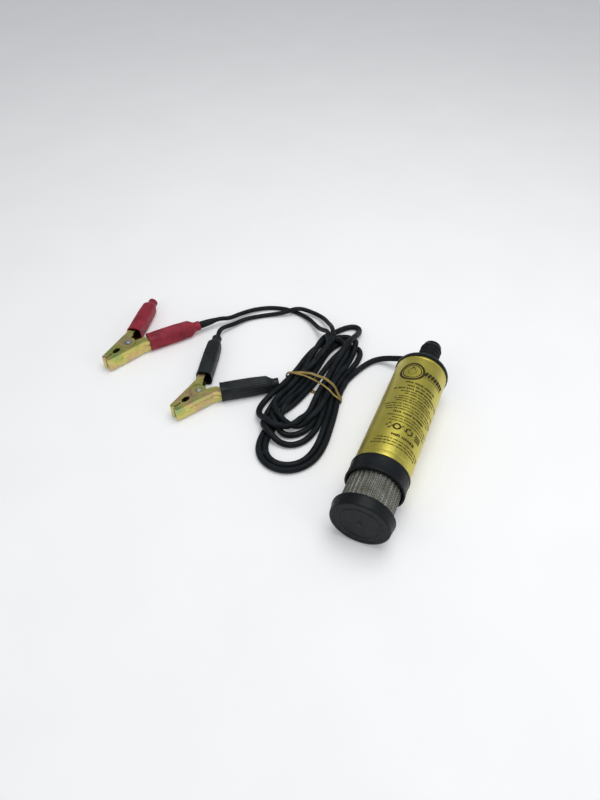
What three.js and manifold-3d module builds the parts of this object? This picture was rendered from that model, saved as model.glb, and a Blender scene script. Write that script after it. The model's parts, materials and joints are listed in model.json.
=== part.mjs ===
// A 12 V submersible pump for diesel and water, with its battery lead.
//
// Millimetres, +Z up. The pump lies on its side along Y: strainer cap at -Y, hose barb at +Y.
// The origin is on the floor under the middle of the pump. Stations along the pump are counted
// from the front face of the strainer cap. The lead lies on the floor at -X, tied in a hank,
// and ends in two spring clips that lie flat, so each clip's pivot stands along Z.

import * as THREE from 'three';
import { mergeVertices } from 'three/addons/utils/BufferGeometryUtils.js';
import Module from 'manifold-3d';

const wasm = await Module();
wasm.setup();

// ---------------------------------------------------------------- driving dimensions

const SIDES = 24; // facets round each large turned piece
const SMALL_SIDES = 12; // facets round each small turned piece
const FIT = 0.3; // gap between pieces that touch
const RUNNING = 0.1; // radial gap where something turns
const CUT = 3; // how far a cutting solid runs past what it cuts
const DRILL_SIDES = 8;

const PUMP_LENGTH = 233.2;
const HALF_LENGTH = PUMP_LENGTH / 2;
const TUBE_R = 25.5;
const TUBE_BORE = 24;
const TUBE_START = 55.4;
const TUBE_END = 187.1;

const CAP = { length: 10.5, frontR: 26.2, rimR: 27.5, boreR: 24, floor: 3, chamfer: 0.8 };
const AXIS_Z = CAP.rimR; // the pump rests on the rim of its cap
const MESH = { outer: 22.6, inner: 21.9, end: 50 };
const CAGE = { outer: 21.6, inner: 19.8, end: 50.4, slots: 8, slotWide: 10, slotLong: 18, rows: [18, 38.5] };

const COLLAR = {
  start: 37.9, outer: 26.8, boreR: 24.3, floorStart: 51, floorEnd: 54, eyeR: 7.5, end: 66, chamfer: 0.8,
};
const SPIGOT = { outer: 23.7, inner: 21.5, grooveR: 22.5, grooveWide: 2.2 };
const LOWER_GROOVE = 58.5;
const UPPER_GROOVE = 180;
const O_RING = { midR: 23.2, r: 0.62, sides: 6 };

const SHAFT = { r: 1.5, start: 54.6, end: 144.2 };
const SHAFT_BORE = SHAFT.r + RUNNING;
const IMPELLER = {
  hubR: 4, start: 57, end: 63, discR: 17, discStart: 60, discEnd: 61.4, vanes: 6, vaneWide: 1.4,
};
const NUT = { r: 3, start: 55, end: 56.7, sides: 6 };
const PLATE = {
  start: 66.3, end: 69.3, outer: 23.6, pocketR: 5.2, pocketEnd: 68.3, holes: 8, holeR: 1.7, holeAt: 20,
};
const SEAL = { outer: 4.9, start: 66.5, end: 68 };
const SCREW = { at: 12, r: 1.4, holeR: 1.8, headR: 2.7, headLong: 1.7, end: 73 };

const CAN = { outer: 18, wall: 1.2, start: 69.6, end: 138 };
const BUSHING = { outer: 4.2, long: 4, wall: 4.5 };
const END_CAP = { start: 138.3, end: 143, finLong: 9, finWide: 2, finRoot: 1, fins: 4, finR: 23.5 };
const MAGNET = { outer: 16.5, inner: 13.7, start: 78, long: 46, span: THREE.MathUtils.degToRad(140) };
const CORE = { r: 12.8, start: 84, long: 34, poles: 5, slotR: 5.5, slotHalf: 0.16, neckHalf: 0.24 };
const WINDING = { outer: 11, inner: 4.6, long: 6 };
const COMMUTATOR = { outer: 4.3, start: 125.5, end: 134 };
const BRUSH = { wide: 3, thick: 4, reach: 5, at: 129.5 };
const BRUSH_ARM = { thick: 0.5, wide: 4, long: 9.6 };
const MOTOR_LEAD = { r: 1, sides: 6, steps: 6, x: 6, z: -6, straight: 14, last: 16, apart: 2 };

const COVER = { start: 176, face: 193.7, flangeR: 26.5, chamfer: 1.4, innerEnd: 188.4 };
const BARB = { rootR: 9.3, ridgeR: 11, boreR: 8, ridges: 6, pitch: 5.6, plain: 3.2, tipR: 9.1 };
const GLAND = {
  x: -14, z: -8, holeR: 4.2, neckR: 3.9, flangeR: 4.9, flangeLong: 1.5, rootR: 5.2, tipR: 3.7, long: 10,
};

const CORD_R = 3.1;
const LEAD_R = 2.5;
const CORD_SIDES = 10;
const LEAD_SIDES = 8;
const CORD_STEP = 14;
const LEAD_STEP = 12;
const STRAIGHT = { boot: 6, yoke: 5 }; // how far a lead runs straight out of each

const HANK = { bottom: 1.4, height: 12, points: 60 };
const BAND = { y: 42, wide: 4, thick: 0.9, wrap: 0.4, slack: 2.5, corner: 3 };
const YOKE = { r: 4.2, endR: 3.4, lip: 0.6, taper: 0.3 };

const CLIP_Z = 9.6; // height of each clip's middle plane
const SHEET = 1.2; // thickness of the pressed steel
const JAW_HALF = 7.2; // half the width of a jaw
const HANDLE_HALF = 6.1; // half the width of a handle
const JAW_TIP = -33;
const EAR_R = 8;
const INNER_EAR_R = 7;
const INNER_EAR_Z = 4.5; // inner face of the fixed arm's ears
const TOOTH = { pitch: 2.6, deep: 0.9, start: -32.2, count: 4 };
const NOSE = { low: 4.2, high: 5.4, chamfer: 1.2 }; // the front corner of a jaw
const JAW_BACK = [[-12, 9.2], [0, 11.6]]; // the jaw's outer edge, from the nose to the pivot
const PIVOT_WEB = 2; // how far outside the pivot the jaw's inner edge passes
const JAW_END = { from: 2, to: 7 }; // where the jaw's flanges end, from the start of the handle
// Half of the oval hole for a battery post: how far along the jaw, and the share of its depth.
const NOTCH = { deep: 2.8, outline: [[-21.8, 0], [-19.6, 0.8], [-17.2, 1], [-14.2, 0.9], [-11.6, 0]] };
const INNER_PLATE = { front: -11, frontLow: 3.2, frontHigh: 9.4, low: 0.5, high: 11.4, reach: 3, inset: 0.1 };
const POCKET_DEEP = 20;
const BEND = { x: 8, y: 6.3 }; // where a handle's axis starts
const HANDLE = { outer: 5.6, inner: -2, start: 2, end: 50 };
const RIVET = { r: 2.3, holeR: 2.6, headR: 3.9, headLong: 1.1 };
const SPRING = {
  coilR: 4.2, wireR: 0.7, height: 3.3, turns: 3.5, legAt: 14, legSteps: 8, sides: 5, perTurn: 8,
};
const GRIP = {
  start: 11.5, long: 59.5, wide: 8, tall: 8.9, wall: 1, points: 16, power: 3.2, steps: 7, flare: 0.05,
  taperFrom: 0.75, taper: 0.36,
};
const FERRULE = { r: 2.6, start: 38, end: 50, offset: 1.7 };
const BOOT = { start: 50.3, r: 3.3, tipR: 2.7, plain: 2 };

const RED_CLIP = { x: -306.1, y: 10.5, turn: 77, handle: 25, flipped: false, boot: 19.5 };
const BLACK_CLIP = { x: -200.4, y: -24.1, turn: 71, handle: 35, flipped: true, boot: 5.5 };

// The free cord's routes, each a list of points that it passes through.
const TAIL_ROUTE = [
  [-14, 88, 19.5],
  [-16, 94, 19],
  [-23, 99, 17.5],
  [-33, 101.5, 13],
  [-45, 103, 7.5],
  [-54, 100.5, 4.5],
  [-60, 94, 3.4],
  [-61.6, 86, 3.4],
];
const RED_ROUTE = [
  [-231.2, 98, 8.2],
  [-222.9, 114.3, 5.8],
  [-212.4, 129.6, 3.9],
  [-197, 141.5, 2.6],
  [-178, 146, 2.6],
  [-160, 143.5, 2.8],
  [-145, 136, 4.5],
  [-129, 122, 8.5],
  [-116.5, 111, 16.8],
];
const BLACK_ROUTE = [
  [-230, 78.8, 7.8],
  [-223.2, 93.5, 5.2],
  [-213.7, 111.3, 3.4],
  [-198, 125.5, 2.6],
  [-180, 135.5, 4.5],
  [-164, 145.5, 8.6],
  [-148, 149.5, 5],
  [-132, 143.5, 6],
  [-120.5, 131, 11],
  [-111.5, 117.5, 18],
];
const YOKE_BACK = [-104.5, 93, 18.8];
const YOKE_FRONT = [-108.5, 105, 18.8];
const YOKE_FORK = 2.6; // each lead leaves the yoke this far from its middle

// The edge of the tied hank, round which its solid is drawn.
const HANK_EDGE = [
  [-71, 42], [-66, 10], [-60, -32], [-66, -60], [-86, -74], [-112, -66], [-126, -38], [-146, -26],
  [-148, -8], [-138, 4], [-125, 14], [-125, 30], [-132, 43], [-130, 68], [-122, 98], [-112, 122],
  [-100, 140], [-87, 140], [-79, 122], [-69, 106], [-65.5, 84],
];
const WAIST_RIGHT = HANK_EDGE[0][0];
const WAIST_LEFT = HANK_EDGE[12][0];

// ---------------------------------------------------------------- materials

function finish(color, roughness, metalness) {
  return new THREE.MeshStandardMaterial({ color, roughness, metalness });
}
const blackPlastic = () => finish(0x1c2022, 0.55, 0);
const blackRubber = () => finish(0x15181a, 0.7, 0);
const redVinyl = () => finish(0xa3303f, 0.55, 0);
const blackVinyl = () => finish(0x22282b, 0.6, 0);
const gold = () => finish(0xbfa23a, 0.38, 0.85);
const steel = () => finish(0x8f938f, 0.4, 0.9);
const zinc = () => finish(0xb0a65a, 0.35, 0.8);
const brass = () => finish(0xb08d4a, 0.4, 0.9);
const copper = () => finish(0xa9643a, 0.4, 0.9);
const magnetBlack = () => finish(0x2a2a2c, 0.8, 0.2);
const bronze = () => finish(0x9a7440, 0.5, 0.8);
const carbon = () => finish(0x1a1a1a, 0.9, 0.1);
const bandRubber = () => finish(0xb08a35, 0.6, 0);
const redWire = () => finish(0xb02020, 0.6, 0);

// ---------------------------------------------------------------- geometry helpers

const station = (s) => s - HALF_LENGTH;
const vec = ([x, y, z]) => new THREE.Vector3(x, y, z);
const rad = (degrees) => THREE.MathUtils.degToRad(degrees);

function signedVolume(position, index) {
  const [a, b, c] = [new THREE.Vector3(), new THREE.Vector3(), new THREE.Vector3()];
  let volume = 0;
  for (let i = 0; i < index.length; i += 3) {
    a.fromBufferAttribute(position, index[i]);
    b.fromBufferAttribute(position, index[i + 1]);
    c.fromBufferAttribute(position, index[i + 2]);
    volume += a.dot(b.cross(c)) / 6;
  }
  return volume;
}

// Shared vertices are merged, flat triangles dropped, and the faces turned outwards.
function closed(geometry) {
  geometry.deleteAttribute('normal');
  geometry.deleteAttribute('uv');
  const merged = mergeVertices(geometry, 1e-4);
  const old = merged.index.array;
  const kept = [];
  for (let i = 0; i < old.length; i += 3) {
    const [a, b, c] = [old[i], old[i + 1], old[i + 2]];
    if (a !== b && b !== c && c !== a) kept.push(a, b, c);
  }
  if (signedVolume(merged.attributes.position, kept) < 0) kept.reverse();
  merged.setIndex(kept);
  return merged;
}

function solid(geometry) {
  const g = closed(geometry);
  const vertProperties = new Float32Array(g.attributes.position.array);
  const triVerts = new Uint32Array(g.index.array);
  return new wasm.Manifold(new wasm.Mesh({ numProp: 3, vertProperties, triVerts }));
}

function geometryOf(manifold) {
  const mesh = manifold.getMesh();
  const geometry = new THREE.BufferGeometry();
  geometry.setAttribute('position', new THREE.BufferAttribute(new Float32Array(mesh.vertProperties), 3));
  geometry.setIndex(Array.from(mesh.triVerts));
  return geometry;
}

// A piece turned about the pump's axis, from [radius, station] corners.
function turned(corners, sides = SIDES, onAxis = false) {
  const points = corners.map(([r, s]) => new THREE.Vector2(r, station(s)));
  if (!onAxis) points.push(points[0].clone());
  return new THREE.LatheGeometry(points, sides);
}

function ring(inner, outer, start, end, sides = SIDES) {
  return turned([[inner, start], [outer, start], [outer, end], [inner, end]], sides);
}

function rod(r, start, end, sides = SMALL_SIDES) {
  return turned([[0, start], [r, start], [r, end], [0, end]], sides, true);
}

// A drill bit along the pump's axis direction, at x and z from the axis.
function drill(r, start, end, x, z, sides = SMALL_SIDES) {
  return solid(rod(r, start, end, sides).translate(x, 0, z));
}

function circleShape(r, sides) {
  const shape = new THREE.Shape();
  for (let i = 0; i < sides; i += 1) {
    const angle = (i / sides) * 2 * Math.PI;
    const [x, y] = [r * Math.cos(angle), r * Math.sin(angle)];
    if (i === 0) shape.moveTo(x, y);
    else shape.lineTo(x, y);
  }
  shape.closePath();
  return shape;
}

function polygon(points) {
  return new THREE.Shape(points.map(([x, y]) => new THREE.Vector2(x, y)));
}

function slab(shape, low, high) {
  const depth = high - low;
  return new THREE.ExtrudeGeometry(shape, { depth, bevelEnabled: false }).translate(0, 0, low);
}

// A shape drawn across the pump's axis and drawn out along it.
function alongPump(shape, start, long) {
  const geometry = new THREE.ExtrudeGeometry(shape, { depth: long, bevelEnabled: false, curveSegments: 6 });
  return geometry.rotateX(-Math.PI / 2).translate(0, station(start), 0);
}

function tube(points, r, sides, steps) {
  const extrudePath = new THREE.CatmullRomCurve3(points, false, 'centripetal');
  return new THREE.ExtrudeGeometry(circleShape(r, sides), { steps, extrudePath, bevelEnabled: false });
}

function freeCord(points, r, sides, step) {
  const curve = new THREE.CatmullRomCurve3(points, false, 'centripetal');
  return tube(points, r, sides, Math.ceil(curve.getLength() / step));
}

const model = new THREE.Group();
const pump = new THREE.Group();
pump.position.z = AXIS_Z;
model.add(pump);

function place(parent, name, geometry, material) {
  const mesh = new THREE.Mesh(closed(geometry), material);
  mesh.name = name;
  parent.add(mesh);
}

// ---------------------------------------------------------------- strainer

function strainerCap() {
  return turned([
    [0, 0],
    [CAP.frontR - CAP.chamfer, 0],
    [CAP.frontR, CAP.chamfer],
    [CAP.rimR, CAP.length - CAP.chamfer],
    [CAP.rimR, CAP.length],
    [CAP.boreR, CAP.length],
    [CAP.boreR, CAP.floor],
    [0, CAP.floor],
  ], SIDES, true);
}

function strainerCage() {
  let cage = solid(ring(CAGE.inner, CAGE.outer, CAP.floor + FIT, CAGE.end));
  for (const row of CAGE.rows) {
    for (let i = 0; i < CAGE.slots / 2; i += 1) {
      const cutter = new THREE.BoxGeometry(CAGE.slotWide, CAGE.slotLong, 3 * CAGE.outer);
      cutter.rotateY((i / CAGE.slots) * 2 * Math.PI).translate(0, station(row), 0);
      cage = cage.subtract(solid(cutter));
    }
  }
  return geometryOf(cage);
}

place(pump, 'strainer_cap', strainerCap(), blackPlastic());
place(pump, 'strainer_cage', strainerCage(), blackPlastic());
place(pump, 'strainer_mesh', ring(MESH.inner, MESH.outer, CAP.floor + FIT, MESH.end), steel());

// ---------------------------------------------------------------- body shell and seals

// A spigot's outside with its groove for an O-ring, from the collar or cover inwards.
function grooved(groove) {
  return [
    [SPIGOT.outer, groove],
    [SPIGOT.grooveR, groove],
    [SPIGOT.grooveR, groove + SPIGOT.grooveWide],
    [SPIGOT.outer, groove + SPIGOT.grooveWide],
  ];
}

function oRing(groove) {
  const corners = [];
  for (let i = 0; i < O_RING.sides; i += 1) {
    const angle = (i / O_RING.sides) * 2 * Math.PI;
    const middle = groove + SPIGOT.grooveWide / 2;
    corners.push([O_RING.midR + O_RING.r * Math.cos(angle), middle + O_RING.r * Math.sin(angle)]);
  }
  return turned(corners);
}

function intakeCollar() {
  return turned([
    [COLLAR.outer, COLLAR.start],
    [COLLAR.outer, TUBE_START - FIT],
    [SPIGOT.outer, TUBE_START - FIT],
    ...grooved(LOWER_GROOVE),
    [SPIGOT.outer, COLLAR.end],
    [SPIGOT.inner, COLLAR.end],
    [SPIGOT.inner, COLLAR.floorEnd],
    [COLLAR.eyeR, COLLAR.floorEnd],
    [COLLAR.eyeR, COLLAR.floorStart],
    [COLLAR.boreR, COLLAR.floorStart],
    [COLLAR.boreR, COLLAR.start + COLLAR.chamfer],
    [COLLAR.boreR + COLLAR.chamfer, COLLAR.start],
  ]);
}

function barbProfile() {
  const corners = [[BARB.rootR, COVER.face]];
  for (let i = 0; i < BARB.ridges; i += 1) {
    const start = COVER.face + BARB.plain + i * BARB.pitch;
    corners.push([BARB.rootR, start]);
    corners.push([BARB.ridgeR, start + BARB.pitch / 5]);
    corners.push([BARB.rootR, start + BARB.pitch - BARB.pitch / 5]);
  }
  corners.push([BARB.tipR, PUMP_LENGTH]);
  return corners;
}

function outletCover() {
  const cover = solid(turned([
    [SPIGOT.inner, COVER.start],
    [SPIGOT.outer, COVER.start],
    ...grooved(UPPER_GROOVE),
    [SPIGOT.outer, TUBE_END + FIT],
    [COVER.flangeR, TUBE_END + FIT],
    [COVER.flangeR, COVER.face - COVER.chamfer],
    [COVER.flangeR - COVER.chamfer, COVER.face],
    ...barbProfile(),
    [BARB.boreR, PUMP_LENGTH],
    [BARB.boreR, COVER.innerEnd],
    [SPIGOT.inner, COVER.innerEnd],
  ]));
  return geometryOf(cover.subtract(drill(GLAND.holeR, COVER.start, COVER.face + 1, GLAND.x, GLAND.z)));
}

function cableGland() {
  const inside = COVER.innerEnd - FIT;
  const outside = COVER.face + FIT;
  return turned([
    [0, inside - GLAND.flangeLong],
    [GLAND.flangeR, inside - GLAND.flangeLong],
    [GLAND.flangeR, inside],
    [GLAND.neckR, inside],
    [GLAND.neckR, outside],
    [GLAND.rootR, outside],
    [GLAND.rootR, outside + 2],
    [GLAND.tipR, outside + GLAND.long],
    [0, outside + GLAND.long],
  ], SMALL_SIDES, true).translate(GLAND.x, 0, GLAND.z);
}

place(pump, 'intake_collar', intakeCollar(), blackPlastic());
place(pump, 'lower_o_ring', oRing(LOWER_GROOVE), blackRubber());
place(pump, 'housing_tube', ring(TUBE_BORE, TUBE_R, TUBE_START, TUBE_END), gold());
place(pump, 'upper_o_ring', oRing(UPPER_GROOVE), blackRubber());
place(pump, 'outlet_cover', outletCover(), blackPlastic());
place(pump, 'cable_gland', cableGland(), blackRubber());

// ---------------------------------------------------------------- impeller and chamber

function impeller() {
  const bore = SHAFT.r + RUNNING / 2;
  let wheel = solid(turned([
    [bore, IMPELLER.start],
    [IMPELLER.hubR, IMPELLER.start],
    [IMPELLER.hubR, IMPELLER.discStart],
    [IMPELLER.discR, IMPELLER.discStart],
    [IMPELLER.discR, IMPELLER.discEnd],
    [IMPELLER.hubR, IMPELLER.discEnd],
    [IMPELLER.hubR, IMPELLER.end],
    [bore, IMPELLER.end],
  ]));
  const reach = IMPELLER.discR - IMPELLER.hubR;
  const high = IMPELLER.discStart - IMPELLER.start;
  for (let i = 0; i < IMPELLER.vanes; i += 1) {
    const vane = new THREE.BoxGeometry(reach, high + FIT, IMPELLER.vaneWide);
    vane.translate(IMPELLER.hubR + reach / 2 - FIT, station(IMPELLER.start + high / 2 + FIT), 0);
    vane.rotateY((i / IMPELLER.vanes) * 2 * Math.PI);
    wheel = wheel.add(solid(vane));
  }
  return geometryOf(wheel);
}

function chamberPlate() {
  const bore = SHAFT.r + FIT;
  let plate = solid(turned([
    [PLATE.pocketR, PLATE.start],
    [PLATE.outer, PLATE.start],
    [PLATE.outer, PLATE.end],
    [bore, PLATE.end],
    [bore, PLATE.pocketEnd],
    [PLATE.pocketR, PLATE.pocketEnd],
  ]));
  for (let i = 0; i < PLATE.holes; i += 1) {
    const angle = ((i + 0.5) / PLATE.holes) * 2 * Math.PI;
    const [x, z] = [PLATE.holeAt * Math.cos(angle), PLATE.holeAt * Math.sin(angle)];
    plate = plate.subtract(drill(PLATE.holeR, PLATE.start - 1, PLATE.end + 1, x, z, 8));
  }
  for (const side of [-1, 1]) {
    plate = plate.subtract(drill(SCREW.holeR, PLATE.start - 1, PLATE.end + 1, side * SCREW.at, 0, 8));
  }
  return geometryOf(plate);
}

function motorScrew(side) {
  const head = PLATE.start - FIT;
  return turned([
    [0, head - SCREW.headLong],
    [SCREW.headR, head - SCREW.headLong],
    [SCREW.headR, head],
    [SCREW.r, head],
    [SCREW.r, SCREW.end],
    [0, SCREW.end],
  ], 8, true).translate(side * SCREW.at, 0, 0);
}

place(pump, 'impeller', impeller(), blackPlastic());
place(pump, 'impeller_nut', ring(SHAFT_BORE, NUT.r, NUT.start, NUT.end, NUT.sides * 2), brass());
place(pump, 'chamber_plate', chamberPlate(), blackPlastic());
place(pump, 'shaft_seal', ring(SHAFT_BORE, SEAL.outer, SEAL.start, SEAL.end, SMALL_SIDES), blackRubber());
place(pump, 'motor_screw_left', motorScrew(-1), steel());
place(pump, 'motor_screw_right', motorScrew(1), steel());

// ---------------------------------------------------------------- motor

function motorCan() {
  const inner = CAN.outer - CAN.wall;
  let can = solid(turned([
    [BUSHING.wall, CAN.start],
    [CAN.outer, CAN.start],
    [CAN.outer, CAN.end],
    [inner, CAN.end],
    [inner, CAN.start + CAN.wall],
    [BUSHING.wall, CAN.start + CAN.wall],
  ]));
  for (const side of [-1, 1]) {
    can = can.subtract(drill(SCREW.holeR, CAN.start - CUT, CAN.start + CUT, side * SCREW.at, 0, DRILL_SIDES));
  }
  return geometryOf(can);
}

function motorEndCap() {
  let cap = solid(ring(BUSHING.wall, CAN.outer, END_CAP.start, END_CAP.end));
  const reach = END_CAP.finR - CAN.outer + END_CAP.finRoot;
  for (let i = 0; i < END_CAP.fins; i += 1) {
    const fin = new THREE.BoxGeometry(reach, END_CAP.finLong, END_CAP.finWide);
    fin.translate(END_CAP.finR - reach / 2, station(END_CAP.start + END_CAP.finLong / 2), 0);
    fin.rotateY(((i + 0.5) / END_CAP.fins) * 2 * Math.PI);
    cap = cap.add(solid(fin));
  }
  return geometryOf(cap);
}

function magnet(middle) {
  const shape = new THREE.Shape();
  const [from, to] = [middle - MAGNET.span / 2, middle + MAGNET.span / 2];
  shape.absarc(0, 0, MAGNET.outer, from, to, false);
  shape.absarc(0, 0, MAGNET.inner, to, from, true);
  shape.closePath();
  return alongPump(shape, MAGNET.start, MAGNET.long);
}

function armatureCore() {
  const shape = new THREE.Shape();
  const pole = (2 * Math.PI) / CORE.poles;
  for (let i = 0; i < CORE.poles; i += 1) {
    const from = i * pole;
    shape.absarc(0, 0, CORE.r, from + CORE.slotHalf, from + pole - CORE.slotHalf, false);
    shape.absarc(0, 0, CORE.slotR, from + pole - CORE.neckHalf, from + pole + CORE.neckHalf, false);
  }
  shape.closePath();
  shape.holes.push(circleShape(SHAFT.r + RUNNING, SMALL_SIDES));
  return alongPump(shape, CORE.start, CORE.long);
}

function winding(start) {
  return ring(WINDING.inner, WINDING.outer, start, start + WINDING.long, SMALL_SIDES);
}

function bushing(start) {
  return ring(SHAFT_BORE, BUSHING.outer, start, start + BUSHING.long, SMALL_SIDES);
}

function commutator() {
  return ring(SHAFT_BORE, COMMUTATOR.outer, COMMUTATOR.start, COMMUTATOR.end, SMALL_SIDES);
}

function brush(side) {
  const inner = COMMUTATOR.outer + FIT;
  const block = new THREE.BoxGeometry(BRUSH.reach, BRUSH.thick, BRUSH.wide);
  return block.translate(side * (inner + BRUSH.reach / 2), station(BRUSH.at), 0);
}

function brushArm(side) {
  const at = COMMUTATOR.outer + BRUSH.reach + 2 * FIT + BRUSH_ARM.thick / 2;
  const leaf = new THREE.BoxGeometry(BRUSH_ARM.thick, BRUSH_ARM.long, BRUSH_ARM.wide);
  return leaf.translate(side * at, station(END_CAP.start - FIT - BRUSH_ARM.long / 2), 0);
}

// One of the two wires from the motor's end cap to the gland, drawn in the pump's frame.
function motorLead(side) {
  const end = COVER.innerEnd - 2 * FIT - GLAND.flangeLong;
  const points = [
    [MOTOR_LEAD.x * side, station(END_CAP.end + FIT), MOTOR_LEAD.z],
    [MOTOR_LEAD.x * side, station(END_CAP.end + MOTOR_LEAD.straight), MOTOR_LEAD.z],
    [GLAND.x + MOTOR_LEAD.apart * side, station(end - MOTOR_LEAD.last), GLAND.z],
    [GLAND.x + MOTOR_LEAD.apart * side, station(end), GLAND.z],
  ];
  return tube(points.map(vec), MOTOR_LEAD.r, MOTOR_LEAD.sides, MOTOR_LEAD.steps);
}

place(pump, 'motor_can', motorCan(), steel());
place(pump, 'motor_end_cap', motorEndCap(), blackPlastic());
place(pump, 'front_bushing', bushing(CAN.start), bronze());
place(pump, 'rear_bushing', bushing(END_CAP.start), bronze());
place(pump, 'upper_magnet', magnet(-Math.PI / 2), magnetBlack());
place(pump, 'lower_magnet', magnet(Math.PI / 2), magnetBlack());
place(pump, 'motor_shaft', rod(SHAFT.r, SHAFT.start, SHAFT.end), steel());
place(pump, 'armature_core', armatureCore(), steel());
place(pump, 'front_winding', winding(CORE.start - FIT - WINDING.long), copper());
place(pump, 'rear_winding', winding(CORE.start + CORE.long + FIT), copper());
place(pump, 'commutator', commutator(), copper());
for (const [side, word] of [[-1, 'left'], [1, 'right']]) {
  place(pump, `brush_${word}`, brush(side), carbon());
  place(pump, `brush_arm_${word}`, brushArm(side), brass());
}
place(pump, 'motor_lead_red', motorLead(1), redWire());
place(pump, 'motor_lead_black', motorLead(-1), blackRubber());

// ---------------------------------------------------------------- spring clips

// Clip frame: the pivot is the origin, the jaws point to -X and the handles to +X. The moving
// arm is on the +Y side and the fixed arm, which the lead is joined to, on the -Y side.

function handleAxes(handle) {
  const angle = rad(handle);
  return {
    along: new THREE.Vector2(Math.cos(angle), Math.sin(angle)),
    out: new THREE.Vector2(-Math.sin(angle), Math.cos(angle)),
  };
}

// The point that is t along a handle's axis and n outwards from it.
function onHandle(handle, t, n) {
  const { along, out } = handleAxes(handle);
  return [BEND.x + t * along.x + n * out.x, BEND.y + t * along.y + n * out.y];
}

function outerEdge(handle) {
  return [
    [JAW_TIP, NOSE.low],
    [JAW_TIP + NOSE.chamfer, NOSE.high],
    ...JAW_BACK,
    onHandle(handle, HANDLE.start + JAW_END.from, HANDLE.outer),
    onHandle(handle, HANDLE.start + JAW_END.to, HANDLE.outer),
  ];
}

// The jaw's flange in plan: teeth, half of the oval hole, and back along the outer edge.
function jawShape(handle) {
  const inner = FIT / 2;
  const points = [];
  for (let i = 0; i < TOOTH.count; i += 1) {
    const x = TOOTH.start + i * TOOTH.pitch;
    points.push([x, inner + TOOTH.deep]);
    points.push([x + TOOTH.pitch / 2, inner]);
  }
  for (const [x, share] of NOTCH.outline) {
    points.push([x, inner + NOTCH.deep * share]);
  }
  points.push([-EAR_R, inner]);
  points.push([0, PIVOT_WEB]);
  points.push(onHandle(handle, HANDLE.start + JAW_END.from, HANDLE.inner));
  points.push(onHandle(handle, HANDLE.start + JAW_END.to, HANDLE.inner));
  return polygon([...points, ...outerEdge(handle).reverse()]);
}

// What is cut away between the two flanges, so that the arm is a channel with its web outside.
function pocketShape(handle) {
  const web = SHEET + RUNNING;
  const edge = outerEdge(handle).map(([x, y]) => [x, y - web]);
  edge[0][0] += SHEET;
  edge[1][0] += SHEET;
  const [endX, endY] = edge[edge.length - 1];
  const far = endX + 2 * CUT;
  return polygon([...edge, [far, endY], [far, -POCKET_DEEP], [edge[0][0], -POCKET_DEEP]]);
}

function handleChannel(handle) {
  const quad = (from, to, low, high) => polygon([
    onHandle(handle, from, low),
    onHandle(handle, to, low),
    onHandle(handle, to, high),
    onHandle(handle, from, high),
  ]);
  const half = HANDLE_HALF - SHEET;
  const bar = quad(HANDLE.start, HANDLE.end, HANDLE.inner, HANDLE.outer);
  const hollow = quad(HANDLE.start - CUT, HANDLE.end + CUT, HANDLE.inner - CUT, HANDLE.outer - SHEET);
  return { outside: solid(slab(bar, -HANDLE_HALF, HANDLE_HALF)), inside: solid(slab(hollow, -half, half)) };
}

function clipArm(handle) {
  const jaw = solid(slab(jawShape(handle), -JAW_HALF, JAW_HALF));
  const ears = solid(slab(circleShape(EAR_R, SIDES), -JAW_HALF, JAW_HALF));
  const half = JAW_HALF - SHEET;
  const pocket = solid(slab(pocketShape(handle), -half, half));
  const channel = handleChannel(handle);
  return { jaw, ears, pocket, channel };
}

const rivetHole = solid(slab(circleShape(RIVET.holeR, SMALL_SIDES), -2 * JAW_HALF, 2 * JAW_HALF));

function movingArm(handle) {
  const { jaw, ears, pocket, channel } = clipArm(handle);
  const front = jaw.add(ears).subtract(pocket).subtract(rivetHole);
  return geometryOf(front.add(channel.outside.subtract(channel.inside)));
}

// The fixed arm's ears stand inside the moving arm's, so its flanges are cut back round them.
function fixedArm(handle) {
  const { jaw, pocket, channel } = clipArm(handle);
  const clearance = circleShape(EAR_R + FIT + 2 * RUNNING, SIDES);
  const outer = INNER_EAR_Z + SHEET;
  const upper = solid(slab(clearance, outer, 2 * JAW_HALF));
  const lower = solid(slab(clearance, -2 * JAW_HALF, -outer));
  const { front, frontLow, frontHigh, low, high, reach, inset } = INNER_PLATE;
  const plate = polygon([
    [front, frontHigh],
    [0, high],
    onHandle(handle, HANDLE.start + reach, HANDLE.outer - inset),
    onHandle(handle, HANDLE.start + reach, HANDLE.inner),
    [0, low],
    [front, frontLow],
  ]);
  const disc = circleShape(INNER_EAR_R, SIDES);
  let arm = jaw.subtract(pocket).subtract(upper).subtract(lower);
  for (const face of [INNER_EAR_Z, -outer]) {
    arm = arm.add(solid(slab(plate, face, face + SHEET)));
    arm = arm.add(solid(slab(disc, face, face + SHEET)));
  }
  arm = arm.add(channel.outside.subtract(channel.inside)).subtract(rivetHole);
  return geometryOf(arm).scale(1, -1, 1);
}

function rivet() {
  const head = JAW_HALF + FIT;
  const end = head + RIVET.headLong;
  const corners = [[0, -end], [RIVET.headR, -end], [RIVET.headR, -head], [RIVET.r, -head]];
  const mirrored = corners.map(([r, z]) => [r, -z]).reverse();
  const points = [...corners, ...mirrored].map(([r, z]) => new THREE.Vector2(r, z));
  return new THREE.LatheGeometry(points, SMALL_SIDES).rotateX(Math.PI / 2);
}

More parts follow.
